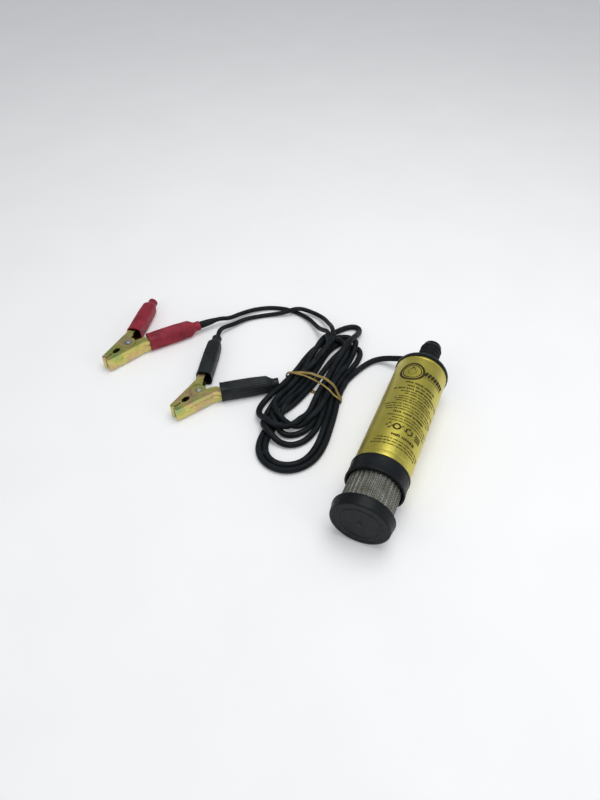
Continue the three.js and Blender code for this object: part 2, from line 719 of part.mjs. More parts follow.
// A torsion spring: a coil round the rivet, with a leg along the inside of each handle.
function clipSpring(handle) {
  const reach = HANDLE.outer - SHEET - FIT - SPRING.wireR;
  const [legX, legY] = onHandle(handle, SPRING.legAt, reach);
  const points = [new THREE.Vector3(legX, -legY, -SPRING.height)];
  const count = Math.round(SPRING.turns * SPRING.perTurn);
  for (let i = 0; i <= count; i += 1) {
    const share = i / count;
    const angle = -Math.PI / 2 - share * SPRING.turns * 2 * Math.PI;
    const [x, y] = [SPRING.coilR * Math.cos(angle), SPRING.coilR * Math.sin(angle)];
    points.push(new THREE.Vector3(x, y, SPRING.height * (2 * share - 1)));
  }
  points.push(new THREE.Vector3(legX, legY, SPRING.height));
  return tube(points, SPRING.wireR, SPRING.sides, count + SPRING.legSteps);
}

function roundedBox(wide, tall) {
  const points = [];
  for (let i = 0; i < GRIP.points; i += 1) {
    const angle = (i / GRIP.points) * 2 * Math.PI;
    const bulge = (v) => Math.sign(v) * Math.abs(v) ** (2 / GRIP.power);
    points.push([wide * bulge(Math.cos(angle)), tall * bulge(Math.sin(angle))]);
  }
  return points;
}

// How much a sleeve's section shrinks, from its flared mouth to its narrow tail.
function gripScale(share) {
  const flare = GRIP.flare * Math.max(0, 1 - share * GRIP.steps);
  const taper = GRIP.taper * THREE.MathUtils.smoothstep(share, GRIP.taperFrom, 1);
  return 1 + flare - taper;
}

function grip(handle, side) {
  const shape = polygon(roundedBox(GRIP.wide, GRIP.tall));
  shape.holes.push(polygon(roundedBox(GRIP.wide - GRIP.wall, GRIP.tall - GRIP.wall)));
  const size = { depth: GRIP.long, steps: GRIP.steps, bevelEnabled: false };
  const sleeve = new THREE.ExtrudeGeometry(shape, size);
  const position = sleeve.attributes.position;
  for (let i = 0; i < position.count; i += 1) {
    const scale = gripScale(position.getZ(i) / GRIP.long);
    position.setXY(i, position.getX(i) * scale, position.getY(i) * scale);
  }
  sleeve.rotateX(Math.PI / 2).rotateZ(Math.PI).rotateZ(rad(handle - 90));
  const [x, y] = onHandle(handle, GRIP.start, 0);
  return sleeve.translate(x, y, 0).scale(1, side, 1);
}

// A turned piece on the axis of the fixed handle, from [radius, t] corners.
function onFixedHandle(corners, handle, offset, sides) {
  const points = corners.map(([r, t]) => new THREE.Vector2(r, t));
  const piece = new THREE.LatheGeometry(points, sides).rotateZ(rad(handle - 90));
  const [x, y] = onHandle(handle, 0, offset);
  return piece.translate(x, y, 0).scale(1, -1, 1);
}

function ferrule(handle) {
  const { r, start, end, offset } = FERRULE;
  return onFixedHandle([[0, start], [r, start], [r, end], [0, end]], handle, offset, SMALL_SIDES);
}

function leadBoot(handle, visible) {
  const tail = GRIP.start + GRIP.long;
  const end = tail + visible;
  const corners = [
    [0, BOOT.start],
    [BOOT.r, BOOT.start],
    [BOOT.r, tail + BOOT.plain],
    [BOOT.tipR, end],
    [0, end],
  ];
  return onFixedHandle(corners, handle, 0, SMALL_SIDES);
}

function addClip(name, clip, sleeve, wire) {
  const group = new THREE.Group();
  group.position.set(clip.x, clip.y, CLIP_Z);
  group.rotation.z = rad(clip.turn);
  const body = new THREE.Group();
  if (clip.flipped) body.rotation.x = Math.PI;
  group.add(body);
  model.add(group);
  place(body, `${name}_fixed_arm`, fixedArm(clip.handle), zinc());
  place(body, `${name}_moving_arm`, movingArm(clip.handle), zinc());
  place(body, `${name}_rivet`, rivet(), steel());
  place(body, `${name}_spring`, clipSpring(clip.handle), steel());
  place(body, `${name}_fixed_grip`, grip(clip.handle, -1), sleeve());
  place(body, `${name}_moving_grip`, grip(clip.handle, 1), sleeve());
  place(body, `${name}_ferrule`, ferrule(clip.handle), copper());
  place(body, `${name}_lead_boot`, leadBoot(clip.handle, clip.boot), wire());
}

addClip('red_clip', RED_CLIP, redVinyl, blackRubber);
addClip('black_clip', BLACK_CLIP, blackVinyl, blackRubber);

// ---------------------------------------------------------------- free cord

// Where a clip's lead starts, in the model's frame: the end of its boot, and the way out of it.
function leadStart(clip, past) {
  const [x, y] = onHandle(clip.handle, GRIP.start + GRIP.long + clip.boot + past, 0);
  const turn = rad(clip.turn);
  const side = clip.flipped ? y : -y;
  const [c, s] = [Math.cos(turn), Math.sin(turn)];
  return new THREE.Vector3(clip.x + x * c - side * s, clip.y + x * s + side * c, CLIP_Z);
}

// The point beside the yoke's front face where one lead leaves it.
function forkPoint(side, past) {
  const front = vec(YOKE_FRONT);
  const way = front.clone().sub(vec(YOKE_BACK)).normalize();
  const across = new THREE.Vector3(-way.y, way.x, 0).normalize();
  return front.addScaledVector(way, past).addScaledVector(across, side * YOKE_FORK);
}

function lead(clip, route, side) {
  const points = [
    leadStart(clip, FIT),
    leadStart(clip, STRAIGHT.boot),
    ...route.map(vec),
    forkPoint(side, STRAIGHT.yoke),
    forkPoint(side, FIT),
  ];
  return freeCord(points, LEAD_R, LEAD_SIDES, LEAD_STEP);
}

// The moulded piece where the round cord divides into its two leads.
function cordSplit() {
  const [back, front] = [vec(YOKE_BACK), vec(YOKE_FRONT)];
  const way = front.clone().sub(back);
  const long = way.length();
  const corners = [
    [0, 0],
    [YOKE.endR, 0],
    [YOKE.r, long * YOKE.taper],
    [YOKE.r, long * (1 - YOKE.taper)],
    [YOKE.r + YOKE.lip, long],
    [0, long],
  ];
  const points = corners.map(([r, y]) => new THREE.Vector2(r, y));
  const piece = new THREE.LatheGeometry(points, SMALL_SIDES);
  const turn = new THREE.Quaternion().setFromUnitVectors(new THREE.Vector3(0, 1, 0), way.normalize());
  return piece.applyQuaternion(turn).translate(back.x, back.y, back.z);
}

function hank() {
  const edge = HANK_EDGE.map(([x, y]) => new THREE.Vector3(x, y, 0));
  const curve = new THREE.CatmullRomCurve3(edge, true, 'centripetal');
  const points = curve.getSpacedPoints(HANK.points).slice(0, -1);
  const shape = new THREE.Shape(points.map((p) => new THREE.Vector2(p.x, p.y)));
  return slab(shape, HANK.bottom, HANK.bottom + HANK.height);
}

// A rubber band stretched round the hank's waist.
function rubberBand() {
  const outline = (grow) => {
    const [x0, x1] = [WAIST_LEFT - grow - BAND.slack, WAIST_RIGHT + grow + BAND.slack];
    const [z0, z1] = [HANK.bottom - grow, HANK.bottom + HANK.height + grow];
    const { corner } = BAND;
    return [
      [x0 + corner, z0], [x1 - corner, z0], [x1, z0 + corner], [x1, z1 - corner],
      [x1 - corner, z1], [x0 + corner, z1], [x0, z1 - corner], [x0, z0 + corner],
    ];
  };
  const shape = polygon(outline(BAND.wrap + BAND.thick));
  shape.holes.push(polygon(outline(BAND.wrap)));
  const band = new THREE.ExtrudeGeometry(shape, { depth: BAND.wide, bevelEnabled: false });
  return band.rotateX(Math.PI / 2).translate(0, BAND.y + BAND.wide / 2, 0);
}

const glandEnd = new THREE.Vector3(GLAND.x, station(COVER.face + GLAND.long + 2 * FIT), AXIS_Z + GLAND.z);
const tail = [glandEnd, ...TAIL_ROUTE.map(vec)];
place(model, 'cord_tail', freeCord(tail, CORD_R, CORD_SIDES, CORD_STEP), blackRubber());
place(model, 'cord_hank', hank(), blackRubber());
place(model, 'rubber_band', rubberBand(), bandRubber());
place(model, 'cord_split', cordSplit(), blackRubber());
place(model, 'red_lead', lead(RED_CLIP, RED_ROUTE, 1), blackRubber());
place(model, 'black_lead', lead(BLACK_CLIP, BLACK_ROUTE, -1), blackRubber());

export default model;
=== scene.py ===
"""The looks of a fluid transfer pump with its tied battery lead and spring clips.

Millimetres are used for driving sizes, and turned into metres where a mesh is made. The pump
lies along Y, its strainer cap at -Y, and stations along it are counted from the cap's face.
"""
import json
import math
import random

import bmesh
import bpy
import numpy as np
from mathutils import Matrix, Vector


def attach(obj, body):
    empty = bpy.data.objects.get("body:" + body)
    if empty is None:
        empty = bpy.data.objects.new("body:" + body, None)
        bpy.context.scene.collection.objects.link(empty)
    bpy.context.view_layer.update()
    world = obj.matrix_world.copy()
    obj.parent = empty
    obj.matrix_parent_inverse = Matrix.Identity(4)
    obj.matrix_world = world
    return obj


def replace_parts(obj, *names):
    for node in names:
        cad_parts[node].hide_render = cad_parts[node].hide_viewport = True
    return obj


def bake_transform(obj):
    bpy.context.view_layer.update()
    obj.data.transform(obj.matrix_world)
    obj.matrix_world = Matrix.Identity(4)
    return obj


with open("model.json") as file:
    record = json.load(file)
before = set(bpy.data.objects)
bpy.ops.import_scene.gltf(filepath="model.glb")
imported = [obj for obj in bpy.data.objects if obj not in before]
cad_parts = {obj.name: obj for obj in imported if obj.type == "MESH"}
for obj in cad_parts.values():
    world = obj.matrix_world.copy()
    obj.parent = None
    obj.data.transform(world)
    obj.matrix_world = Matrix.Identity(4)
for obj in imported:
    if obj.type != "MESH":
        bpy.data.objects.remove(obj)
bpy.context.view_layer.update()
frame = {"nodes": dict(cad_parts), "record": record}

MM = 0.001

# -------------------- driving sizes, in mm

AXIS_Z = 27.5
HALF_LENGTH = 116.6
COVER_FACE = 193.7
PUMP_LENGTH = 2 * HALF_LENGTH
GLAND_X = -14.0
GLAND_Z = AXIS_Z - 8.0
GLAND_END = COVER_FACE + 10.6

CORD_D = 6.2
LEAD_D = 5.0

CLIP_Z = 9.6
BEND = (8.0, 6.3)
GRIP_START = 11.5
GRIP_LONG = 59.5
GRIP_WIDE = 8.0
GRIP_TALL = 8.9
GRIP_WALL = 1.0
RED_CLIP = {"name": "red", "x": -306.1, "y": 10.5, "turn": 77, "handle": 25, "side": 1, "boot": 19.5}
BLACK_CLIP = {"name": "black", "x": -200.4, "y": -24.1, "turn": 71, "handle": 35, "side": -1, "boot": 5.5}
# Each sleeve: how far it has slid out along its handle, how much it is stretched, and its ribs.
SLEEVES = {
    ("red", "fixed"): (0.0, 0.0, 1.2), ("red", "moving"): (0.0, 0.0, 0.3),
    ("black", "fixed"): (3.0, 4.0, 0.15), ("black", "moving"): (0.0, 0.0, 0.9),
}

# -------------------- camera

EYE = Vector((62.13, -387.36, 455.43)) * MM
PITCH_DOWN = math.radians(46.04)
HEADING = math.radians(22.79)
LENS = 27.945
SENSOR_WIDE = 36.0
SEES_FROM, SEES_TO = 0.01, 20.0  # metres


def make_camera():
    data = bpy.data.cameras.new("photo_camera")
    data.lens = LENS
    data.sensor_width = SENSOR_WIDE
    data.clip_start = SEES_FROM
    data.clip_end = SEES_TO
    camera = bpy.data.objects.new("photo_camera", data)
    camera.location = EYE
    camera.rotation_euler = (math.pi / 2 - PITCH_DOWN, 0, HEADING)
    bpy.context.scene.collection.objects.link(camera)
    bpy.context.scene.camera = camera


make_camera()

# -------------------- routes

TAIL_ROUTE = [
    (-14, 88, 19.5), (-16, 94, 19), (-23, 99, 17.5), (-33, 101.5, 13), (-45, 103, 7.5),
    (-54, 100.5, 4.5), (-60, 94, 3.4), (-64.5, 85, 3.3),
]
RED_ROUTE = [
    (-231.2, 98, 8.2), (-222.9, 114.3, 5.8), (-212.4, 129.6, 3.9), (-197, 141.5, 2.6), (-178, 146, 2.6),
    (-160, 143.5, 2.8), (-145, 136, 4.5), (-129, 122, 8.5), (-116.5, 111, 16.8),
]
BLACK_ROUTE = [
    (-230, 78.8, 7.8), (-223.2, 93.5, 5.2), (-213.7, 111.3, 3.4), (-198, 125.5, 2.6), (-180, 135.5, 4.5),
    (-164, 145.5, 8.6), (-148, 149.5, 5), (-132, 143.5, 6), (-120.5, 131, 11), (-111.5, 117.5, 18),
]
YOKE_BACK = (-104.5, 93, 18.8)
YOKE_FRONT = (-108.5, 105, 18.8)
YOKE_FORK = 2.6
RISE_ROUTE = [(-116.5, 50, 10.5), (-113, 60, 13), (-108.5, 72, 16), (-105.5, 84, 18.3)]

INTO_HANK = (-71, 66, 3.2)  # where the tail joins the first turn

# Where the cord crosses the hank's waist, in the order in which it runs: across and height.
WAIST_Y = 42.0
CROSSINGS = [
    (-75.7, 3.1), (-101.5, 3.1), (-82, 3.1), (-108, 3.1), (-95, 3.1), (-114.5, 3.1),
    (-88.5, 3.1), (-121, 3.1), (-93, 9.3), (-125, 8.8), (-85.5, 9.3), (-117, 9.3),
]
# The loop after each crossing: its tip, half its width, how far its belly leans to the side
# where it starts, how blunt it is, and how high it lies.
LOOPS = [
    {"tip": (-100, -76), "wide": 23.5, "lean": 5, "blunt": 0.78, "high": 3.1},
    {"tip": (-79, 117), "wide": 8, "lean": 1, "blunt": 0.85, "high": 3.1},
    {"tip": (-93, -74.5), "wide": 20.5, "lean": 0, "blunt": 0.8, "high": 5},
    {"tip": (-93, 121), "wide": 8.5, "lean": 1, "blunt": 0.85, "high": 4},
    {"tip": (-107, -40), "wide": 16, "lean": 3.6, "blunt": 1.2, "high": 9},
    {"tip": (-99, 117), "wide": 8, "lean": 0, "blunt": 0.85, "high": 8},
    {"tip": (-97, -50), "wide": 19, "lean": -3.4, "blunt": 1.1, "high": 8},
    {"tip": (-88, 152), "wide": 8, "lean": 7, "blunt": 1.2, "high": 10},
    {"tip": (-114, -35.5), "wide": 19, "lean": -4.5, "blunt": 0.84, "high": 17},
    {"tip": (-87, 131), "wide": 9.5, "lean": 7, "blunt": 1.15, "high": 4},
    {"tip": (-104, -25), "wide": 17, "lean": -3.5, "blunt": 0.86, "high": 12},
]
LOOP_POINTS = 26
LOOP_RISE = 2.2  # how soon a loop leaves the waist's height for its own
DENSE_STEPS = 12  # points on each span of a curve, before they are spaced evenly


def smooth_route(points, step):
    """Evenly spaced points on a centripetal Catmull-Rom curve through the given ones."""
    given = np.array(points, float)
    padded = np.vstack([2 * given[0] - given[1], given, 2 * given[-1] - given[-2]])
    dense = []
    for i in range(len(given) - 1):
        p = padded[i : i + 4]
        knots = np.concatenate([[0], np.cumsum(np.sqrt(np.linalg.norm(np.diff(p, axis=0), axis=1)))])
        for t in np.linspace(knots[1], knots[2], DENSE_STEPS, endpoint=False):
            a = [p[k] + (p[k + 1] - p[k]) * (t - knots[k]) / (knots[k + 1] - knots[k]) for k in range(3)]
            b = [a[k] + (a[k + 1] - a[k]) * (t - knots[k]) / (knots[k + 2] - knots[k]) for k in range(2)]
            dense.append(b[0] + (b[1] - b[0]) * (t - knots[1]) / (knots[2] - knots[1]))
    dense.append(given[-1])
    return evenly(np.array(dense), step)


def evenly(points, step):
    gone = np.concatenate([[0], np.cumsum(np.linalg.norm(np.diff(points, axis=0), axis=1))])
    count = max(4, int(round(gone[-1] / step)) + 1)
    at = np.linspace(0, gone[-1], count)
    return np.stack([np.interp(at, gone, points[:, k]) for k in range(3)], axis=1)


def hank_loop(start, end, loop):
    """One teardrop loop from one crossing of the waist to the next."""
    a = np.array([start[0], WAIST_Y])
    b = np.array([end[0], WAIST_Y])
    reach = np.array(loop["tip"], float) - (a + b) / 2
    side = np.array([-reach[1], reach[0]]) / np.linalg.norm(reach)
    if side @ (a - b) < 0:
        side = -side
    points = []
    for i in range(LOOP_POINTS):
        u = i / LOOP_POINTS
        out = math.sin(math.pi * u)
        swing = math.sin(2 * math.pi * u)
        place = a + (b - a) * u + reach * out ** loop["blunt"]
        place = place + side * (loop["wide"] * swing + loop["lean"] * swing * swing)
        at_waist = start[1] + (end[1] - start[1]) * u
        high = at_waist + (loop["high"] - at_waist) * min(1, LOOP_RISE * out)
        points.append((place[0], place[1], high))
    return points


def main_route():
    """The whole round cord, from the gland to the yoke, before it settles."""
    points = [(GLAND_X, GLAND_END - HALF_LENGTH, GLAND_Z)] + TAIL_ROUTE[1:]
    points.append(INTO_HANK)
    for i, loop in enumerate(LOOPS):
        points += hank_loop(CROSSINGS[i], CROSSINGS[i + 1], loop)
    points.append((CROSSINGS[-1][0], WAIST_Y, CROSSINGS[-1][1]))
    return smooth_route(points + RISE_ROUTE + [YOKE_BACK], CORD_STEP)


# -------------------- how the hank settles

CORD_STEP = 4.6
SETTLE_STEPS = 420
SINK = 0.25  # how far the cord falls in a step, at first
ANCHOR = 0.06  # how strongly a point is drawn back to where it was laid
SMOOTHING = 0.16
NEIGHBOURS = 4  # points this near along the cord may lie closer than its thickness
PART_SHARE = 0.45
TIGHTEN_SHARE = 0.25
PINNED_TAIL = 22  # points of the tail that the gland and the floor already hold
PINNED_RISE = 3
LIFT_SHARE = 1.5  # how much more readily cords part by height than sideways
LIFT_BIAS = 2.0
GRIP_LIFT = 5.5  # a cord against the sleeve climbs over it
SLEEVE_CLEAR = 9.4
NIPPLE_NARROWER = 3.7
NIPPLE_AT = 0.8
NIPPLE_OVER = 0.12


def clip_point(clip, x, y, z=0.0):
    """A point of a clip's own frame in the row frame; its moving arm is on the +y side."""
    y, z = y * clip["side"], z * clip["side"]
    turn = math.radians(clip["turn"])
    c, s = math.cos(turn), math.sin(turn)
    return (clip["x"] + x * c - y * s, clip["y"] + x * s + y * c, CLIP_Z + z)


def on_handle(clip, t, outwards, moving):
    """A point on a grip's axis, in the row frame: t along it and a distance out from it."""
    angle = math.radians(clip["handle"])
    x = BEND[0] + t * math.cos(angle) - outwards * math.sin(angle)
    y = BEND[1] + t * math.sin(angle) + outwards * math.cos(angle)
    return clip_point(clip, x, y if moving else -y)


def push_out_of_grip(points):
    """Keeps the cord clear of the black clip's free grip, which lies beside the hank."""
    a = np.array(on_handle(BLACK_CLIP, GRIP_START, 0, True))
    b = np.array(on_handle(BLACK_CLIP, GRIP_START + GRIP_LONG, 0, True))
    way = b - a
    share = np.clip((points - a) @ way / (way @ way), 0, 1)
    nearest = a + share[:, None] * way
    radius = SLEEVE_CLEAR - NIPPLE_NARROWER * np.clip((share - NIPPLE_AT) / NIPPLE_OVER, 0, 1)
    off = points - nearest
    off[:, 2] = np.maximum(off[:, 2], GRIP_LIFT)
    far = np.linalg.norm(off, axis=1)
    need = radius + CORD_D / 2 + 0.4
    close = far < need
    off[close] *= ((need[close] - far[close]) / np.maximum(far[close], 0.01))[:, None]
    points[close] += off[close]


def part_turns(points, pairs, above):
    """Moves apart the points of different turns that lie closer than the cord is thick."""
    clear = CORD_D * 1.01
    gap = points[:, None, :] - points[None, :, :]
    far = np.sqrt((gap ** 2).sum(axis=2)) + 1e-6
    hit_a, hit_b = np.nonzero(pairs & (far < clear))
    way = gap[hit_a, hit_b]
    way[:, 2] = way[:, 2] * LIFT_SHARE + above[hit_a, hit_b] * LIFT_BIAS
    way /= np.linalg.norm(way, axis=1)[:, None]
    move = way * ((clear - far[hit_a, hit_b]) * PART_SHARE)[:, None]
    np.add.at(points, hit_a, move)
    np.add.at(points, hit_b, -move)


def keep_length(points, rest):
    way = np.diff(points, axis=0)
    long = np.linalg.norm(way, axis=1)
    fix = way * ((long - rest) / long * TIGHTEN_SHARE)[:, None]
    points[:-1] += fix
    points[1:] -= fix


def settle(points):
    """Lays the cord down: it keeps its length, rests on the floor and never lies in itself."""
    home = points.copy()
    count = len(points)
    above = np.sign(home[:, None, 2] - home[None, :, 2])
    rest = np.linalg.norm(np.diff(points, axis=0), axis=1)
    index = np.arange(count)
    pairs = np.triu(np.abs(index[:, None] - index[None, :]) >= NEIGHBOURS)
    free = np.ones(count)
    free[:PINNED_TAIL] = 0
    free[-PINNED_RISE:] = 0
    held = free == 0
    for step in range(SETTLE_STEPS):
        calm = 1 - step / SETTLE_STEPS
        points[:, 2] -= SINK * calm * free
        points[:, :2] += (home[:, :2] - points[:, :2]) * (ANCHOR * calm)
        middle = (points[:-2] + points[2:]) / 2
        points[1:-1] += (middle - points[1:-1]) * SMOOTHING
        for _ in range(2):
            part_turns(points, pairs, above)
            push_out_of_grip(points)
        keep_length(points, rest)
        points[:, 2] = np.maximum(points[:, 2], CORD_D / 2 + 0.05)
        points[held] = home[held]
    return points


def cord_object(name, points, diameter):
    """A round cord as one open spline through the points."""
    curve = bpy.data.curves.new(name, "CURVE")
    curve.dimensions = "3D"
    curve.bevel_depth = diameter / 2 * MM
    curve.bevel_resolution = 5
    curve.resolution_u = 3
    curve.use_fill_caps = True
    spline = curve.splines.new("NURBS")
    spline.points.add(len(points) - 1)
    for point, place in zip(spline.points, points):
        point.co = (place[0] * MM, place[1] * MM, place[2] * MM, 1)
    spline.order_u = 4
    spline.use_endpoint_u = True
    piece = bpy.data.objects.new(name, curve)
    bpy.context.scene.collection.objects.link(piece)
    return piece


def metres(point):
    return tuple(value * MM for value in point)


LEAD_STEP = 6
OUT_OF_YOKE = (0.3, 5)
INTO_BOOT = (6, 0.3)


def yoke_axes():
    """The yoke's back and front, its length, and the unit vectors along and across it."""
    back, front = np.array(YOKE_BACK, float), np.array(YOKE_FRONT, float)
    way = front - back
    long = np.linalg.norm(way)
    way /= long
    across = np.array([-way[1], way[0], 0])
    return back, front, long, way, across / np.linalg.norm(across)


def lead_route(clip, route, side):
    """From the yoke's front to the end of a clip's boot."""
    _, front, _, way, across = yoke_axes()
    tail = GRIP_START + GRIP_LONG + clip["boot"]
    points = [front + across * side * YOKE_FORK + way * past for past in OUT_OF_YOKE]
    points += [np.array(p, float) for p in reversed(route)]
    points += [np.array(on_handle(clip, tail + past, 0, False)) for past in INTO_BOOT]
    return smooth_route(points, LEAD_STEP)


main_points = main_route()
main_points = settle(main_points)
cord_main = cord_object("cord_main", main_points, CORD_D)
red_points = lead_route(RED_CLIP, RED_ROUTE, 1)
black_points = lead_route(BLACK_CLIP, BLACK_ROUTE, -1)
red_lead = cord_object("red_clip_cord", red_points, LEAD_D)
black_lead = cord_object("black_clip_cord", black_points, LEAD_D)
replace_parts(cord_main, "cord_tail", "cord_hank")
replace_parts(red_lead, "red_lead")
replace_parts(black_lead, "black_lead")

# -------------------- node materials


class Look:
    """One Principled material, whose texture coordinates are millimetres in the row frame."""

    def __init__(self, name, colour, rough, metal=0.0, **sockets):
        self.material = bpy.data.materials.new(name)
        self.material.use_nodes = True
        self.tree = self.material.node_tree
        self.shader = self.tree.nodes["Principled BSDF"]
        self.shader.inputs["Base Color"].default_value = (*colour, 1)
        self.shader.inputs["Roughness"].default_value = rough
        self.shader.inputs["Metallic"].default_value = metal
        for socket, value in sockets.items():
            self.shader.inputs[socket.replace("_", " ")].default_value = value
        self.material.diffuse_color = (*colour, 1)
        self.millimetres = self.vector("SCALE", self.add("ShaderNodeTexCoord").outputs["Object"])
        self.millimetres.node.inputs["Scale"].default_value = 1 / MM
        self.normal = None

    def add(self, kind, **settings):
        node = self.tree.nodes.new(kind)
        for key, value in settings.items():
            setattr(node, key, value)
        return node

    def feed(self, socket, value):
        if isinstance(value, bpy.types.NodeSocket):
            self.tree.links.new(value, socket)
        elif value is not None:
            socket.default_value = value

    def combine(self, kind, operation, a, b):
        node = self.add(kind, operation=operation)
        self.feed(node.inputs[0], a)
        self.feed(node.inputs[1], b)
        return node.outputs[0]

    def vector(self, operation, a, b=None):
        return self.combine("ShaderNodeVectorMath", operation, a, b)

    def math(self, operation, a, b=None):
        return self.combine("ShaderNodeMath", operation, a, b)

    def noise(self, scale, detail=3.0, stretch=(1, 1, 1), rough=0.55):
        """Noise of that many features to the millimetre."""
        node = self.add("ShaderNodeTexNoise")
        self.feed(node.inputs["Vector"], self.vector("MULTIPLY", self.millimetres, stretch))
        node.inputs["Scale"].default_value = scale
        node.inputs["Detail"].default_value = detail
        node.inputs["Roughness"].default_value = rough
        return node.outputs["Fac"]

    def spread(self, value, low, high, start=0.35, end=0.65):
        node = self.add("ShaderNodeMapRange")
        self.feed(node.inputs["Value"], value)
        node.inputs["From Min"].default_value = start
        node.inputs["From Max"].default_value = end
        node.inputs["To Min"].default_value = low
        node.inputs["To Max"].default_value = high
        return node.outputs["Result"]

    def ramp(self, value, *stops):
        node = self.add("ShaderNodeValToRGB")
        self.feed(node.inputs["Fac"], value)
        ends = node.color_ramp.elements
        for i, (at, colour) in enumerate(stops):
            stop = ends[i] if i < 2 else ends.new(at)
            stop.position = at
            stop.color = (*colour, 1)
        return node.outputs["Color"]

    def mix(self, share, a, b, blend="MIX"):
        node = self.add("ShaderNodeMix", data_type="RGBA", blend_type=blend)
        self.feed(node.inputs[0], share)
        self.feed(node.inputs[6], a)
        self.feed(node.inputs[7], b)
        return node.outputs[2]

    def bump(self, height, deep):
        """Raises the surface by the height times a depth in millimetres."""
        node = self.add("ShaderNodeBump")
        self.feed(node.inputs["Height"], height)
        node.inputs["Distance"].default_value = deep * MM
        if self.normal is not None:
            self.feed(node.inputs["Normal"], self.normal)
        self.normal = node.outputs["Normal"]
        self.feed(self.shader.inputs["Normal"], self.normal)

    def colour(self, value):
        self.feed(self.shader.inputs["Base Color"], value)

    def roughness(self, value):
        self.feed(self.shader.inputs["Roughness"], value)

    def parts(self):
        split = self.add("ShaderNodeSeparateXYZ")
        self.feed(split.inputs[0], self.millimetres)
        return split.outputs["X"], split.outputs["Y"], split.outputs["Z"]


def shade(colour, share, plus=0.0):
    return tuple(c * share + plus for c in colour)


def dark_plastic(name, colour, rough):
    """Moulded black plastic: satin, with soft shade changes and a few pale rubbed flecks."""
    look = Look(name, colour, rough, Specular_IOR_Level=0.15)
    cloud = look.noise(0.05, 3)
    fleck = look.math("GREATER_THAN", look.noise(0.85, 4, rough=0.7), 0.735)
    plain = look.ramp(cloud, (0.35, shade(colour, 0.65)), (0.65, shade(colour, 1.5)))
    look.colour(look.mix(fleck, plain, (*shade(colour, 0.7, 0.05), 1)))
    look.roughness(look.spread(look.noise(0.35, 5), rough - 0.08, rough + 0.12))
    look.bump(look.noise(2.2, 3), 0.035)
    look.bump(look.noise(0.12, 2), 0.12)
    return look.material


def soft_rubber(name, colour, rough, grain=0.05):
    """A matte jacket with faint waxy patches and a fine grain."""
    look = Look(name, colour, rough, Specular_IOR_Level=0.14)
    lighter = shade(colour, 1.45, 0.002)
    look.colour(look.ramp(look.noise(0.09, 5), (0.38, shade(colour, 0.7)), (0.62, lighter)))
    look.roughness(look.spread(look.noise(0.2, 4), rough - 0.1, rough + 0.1))
    look.bump(look.noise(2.6, 3), grain)
    return look.material


def dipped_vinyl(name, colour, rough):
    """Soft dipped vinyl: a deep colour with duller handled patches and small pores."""
    look = Look(name, colour, rough, Specular_IOR_Level=0.24, Coat_Weight=0.03, Coat_Roughness=0.4)
    lighter = shade(colour, 1.25, 0.006)
    look.colour(look.ramp(look.noise(0.07, 4), (0.36, shade(colour, 0.72)), (0.64, lighter)))
    look.roughness(look.spread(look.noise(0.16, 4), rough - 0.08, rough + 0.14))
    look.bump(look.noise(1.6, 4), 0.05)
    return look.material


def gold_anodised():
    """Anodised tube: a fine turned grain round the axis under a clear satin finish."""
    look = Look("gold_anodised", (0.57, 0.5, 0.1), 0.44, 1.0, Coat_Weight=0.06, Coat_Roughness=0.45)
    along = look.parts()[1]
    lathe = look.add("ShaderNodeTexNoise", noise_dimensions="1D")
    look.feed(lathe.inputs["W"], look.math("MULTIPLY", along, 3.2))
    lathe.inputs["Detail"].default_value = 4
    shade = look.noise(0.02, 3)
    look.colour(look.ramp(shade, (0.3, (0.54, 0.465, 0.075)), (0.7, (0.63, 0.555, 0.115))))
    look.roughness(look.spread(look.noise(0.3, 4, (1, 0.25, 1)), 0.36, 0.46))
    look.bump(lathe.outputs["Fac"], 0.012)
    look.bump(look.noise(0.5, 2), 0.01)
    return look.material


def zinc_plate():
    """Yellow zinc: patches of gold, green and rose over drawn steel, brighter where rubbed."""
    look = Look("yellow_zinc", (0.6, 0.56, 0.22), 0.3, 1.0)
    wave = look.noise(0.045, 2, rough=0.5)
    tint = look.ramp(
        wave,
        (0.3, (0.34, 0.45, 0.17)),
        (0.44, (0.49, 0.5, 0.13)),
        (0.52, (0.64, 0.55, 0.19)),
        (0.6, (0.58, 0.4, 0.22)),
        (0.68, (0.49, 0.51, 0.17)),
    )
    rub = look.spread(look.noise(0.25, 3), 0.0, 0.2, 0.5, 0.75)
    look.colour(look.mix(rub, tint, (0.68, 0.64, 0.4, 1)))
    look.roughness(look.spread(look.noise(0.2, 4), 0.24, 0.38))
    look.bump(look.noise(0.7, 3), 0.012)
    return look.material


def plain_metal(name, colour, rough, stretch=(1, 1, 1)):
    """Bare metal with fine drawn lines and slight tarnish."""
    look = Look(name, colour, rough, 1.0)
    look.colour(look.ramp(look.noise(0.15, 5), (0.35, shade(colour, 0.6)), (0.6, colour)))
    look.roughness(look.spread(look.noise(0.5, 4, stretch), rough - 0.06, rough + 0.14))
    look.bump(look.noise(1.8, 3, stretch), 0.015)
    return look.material


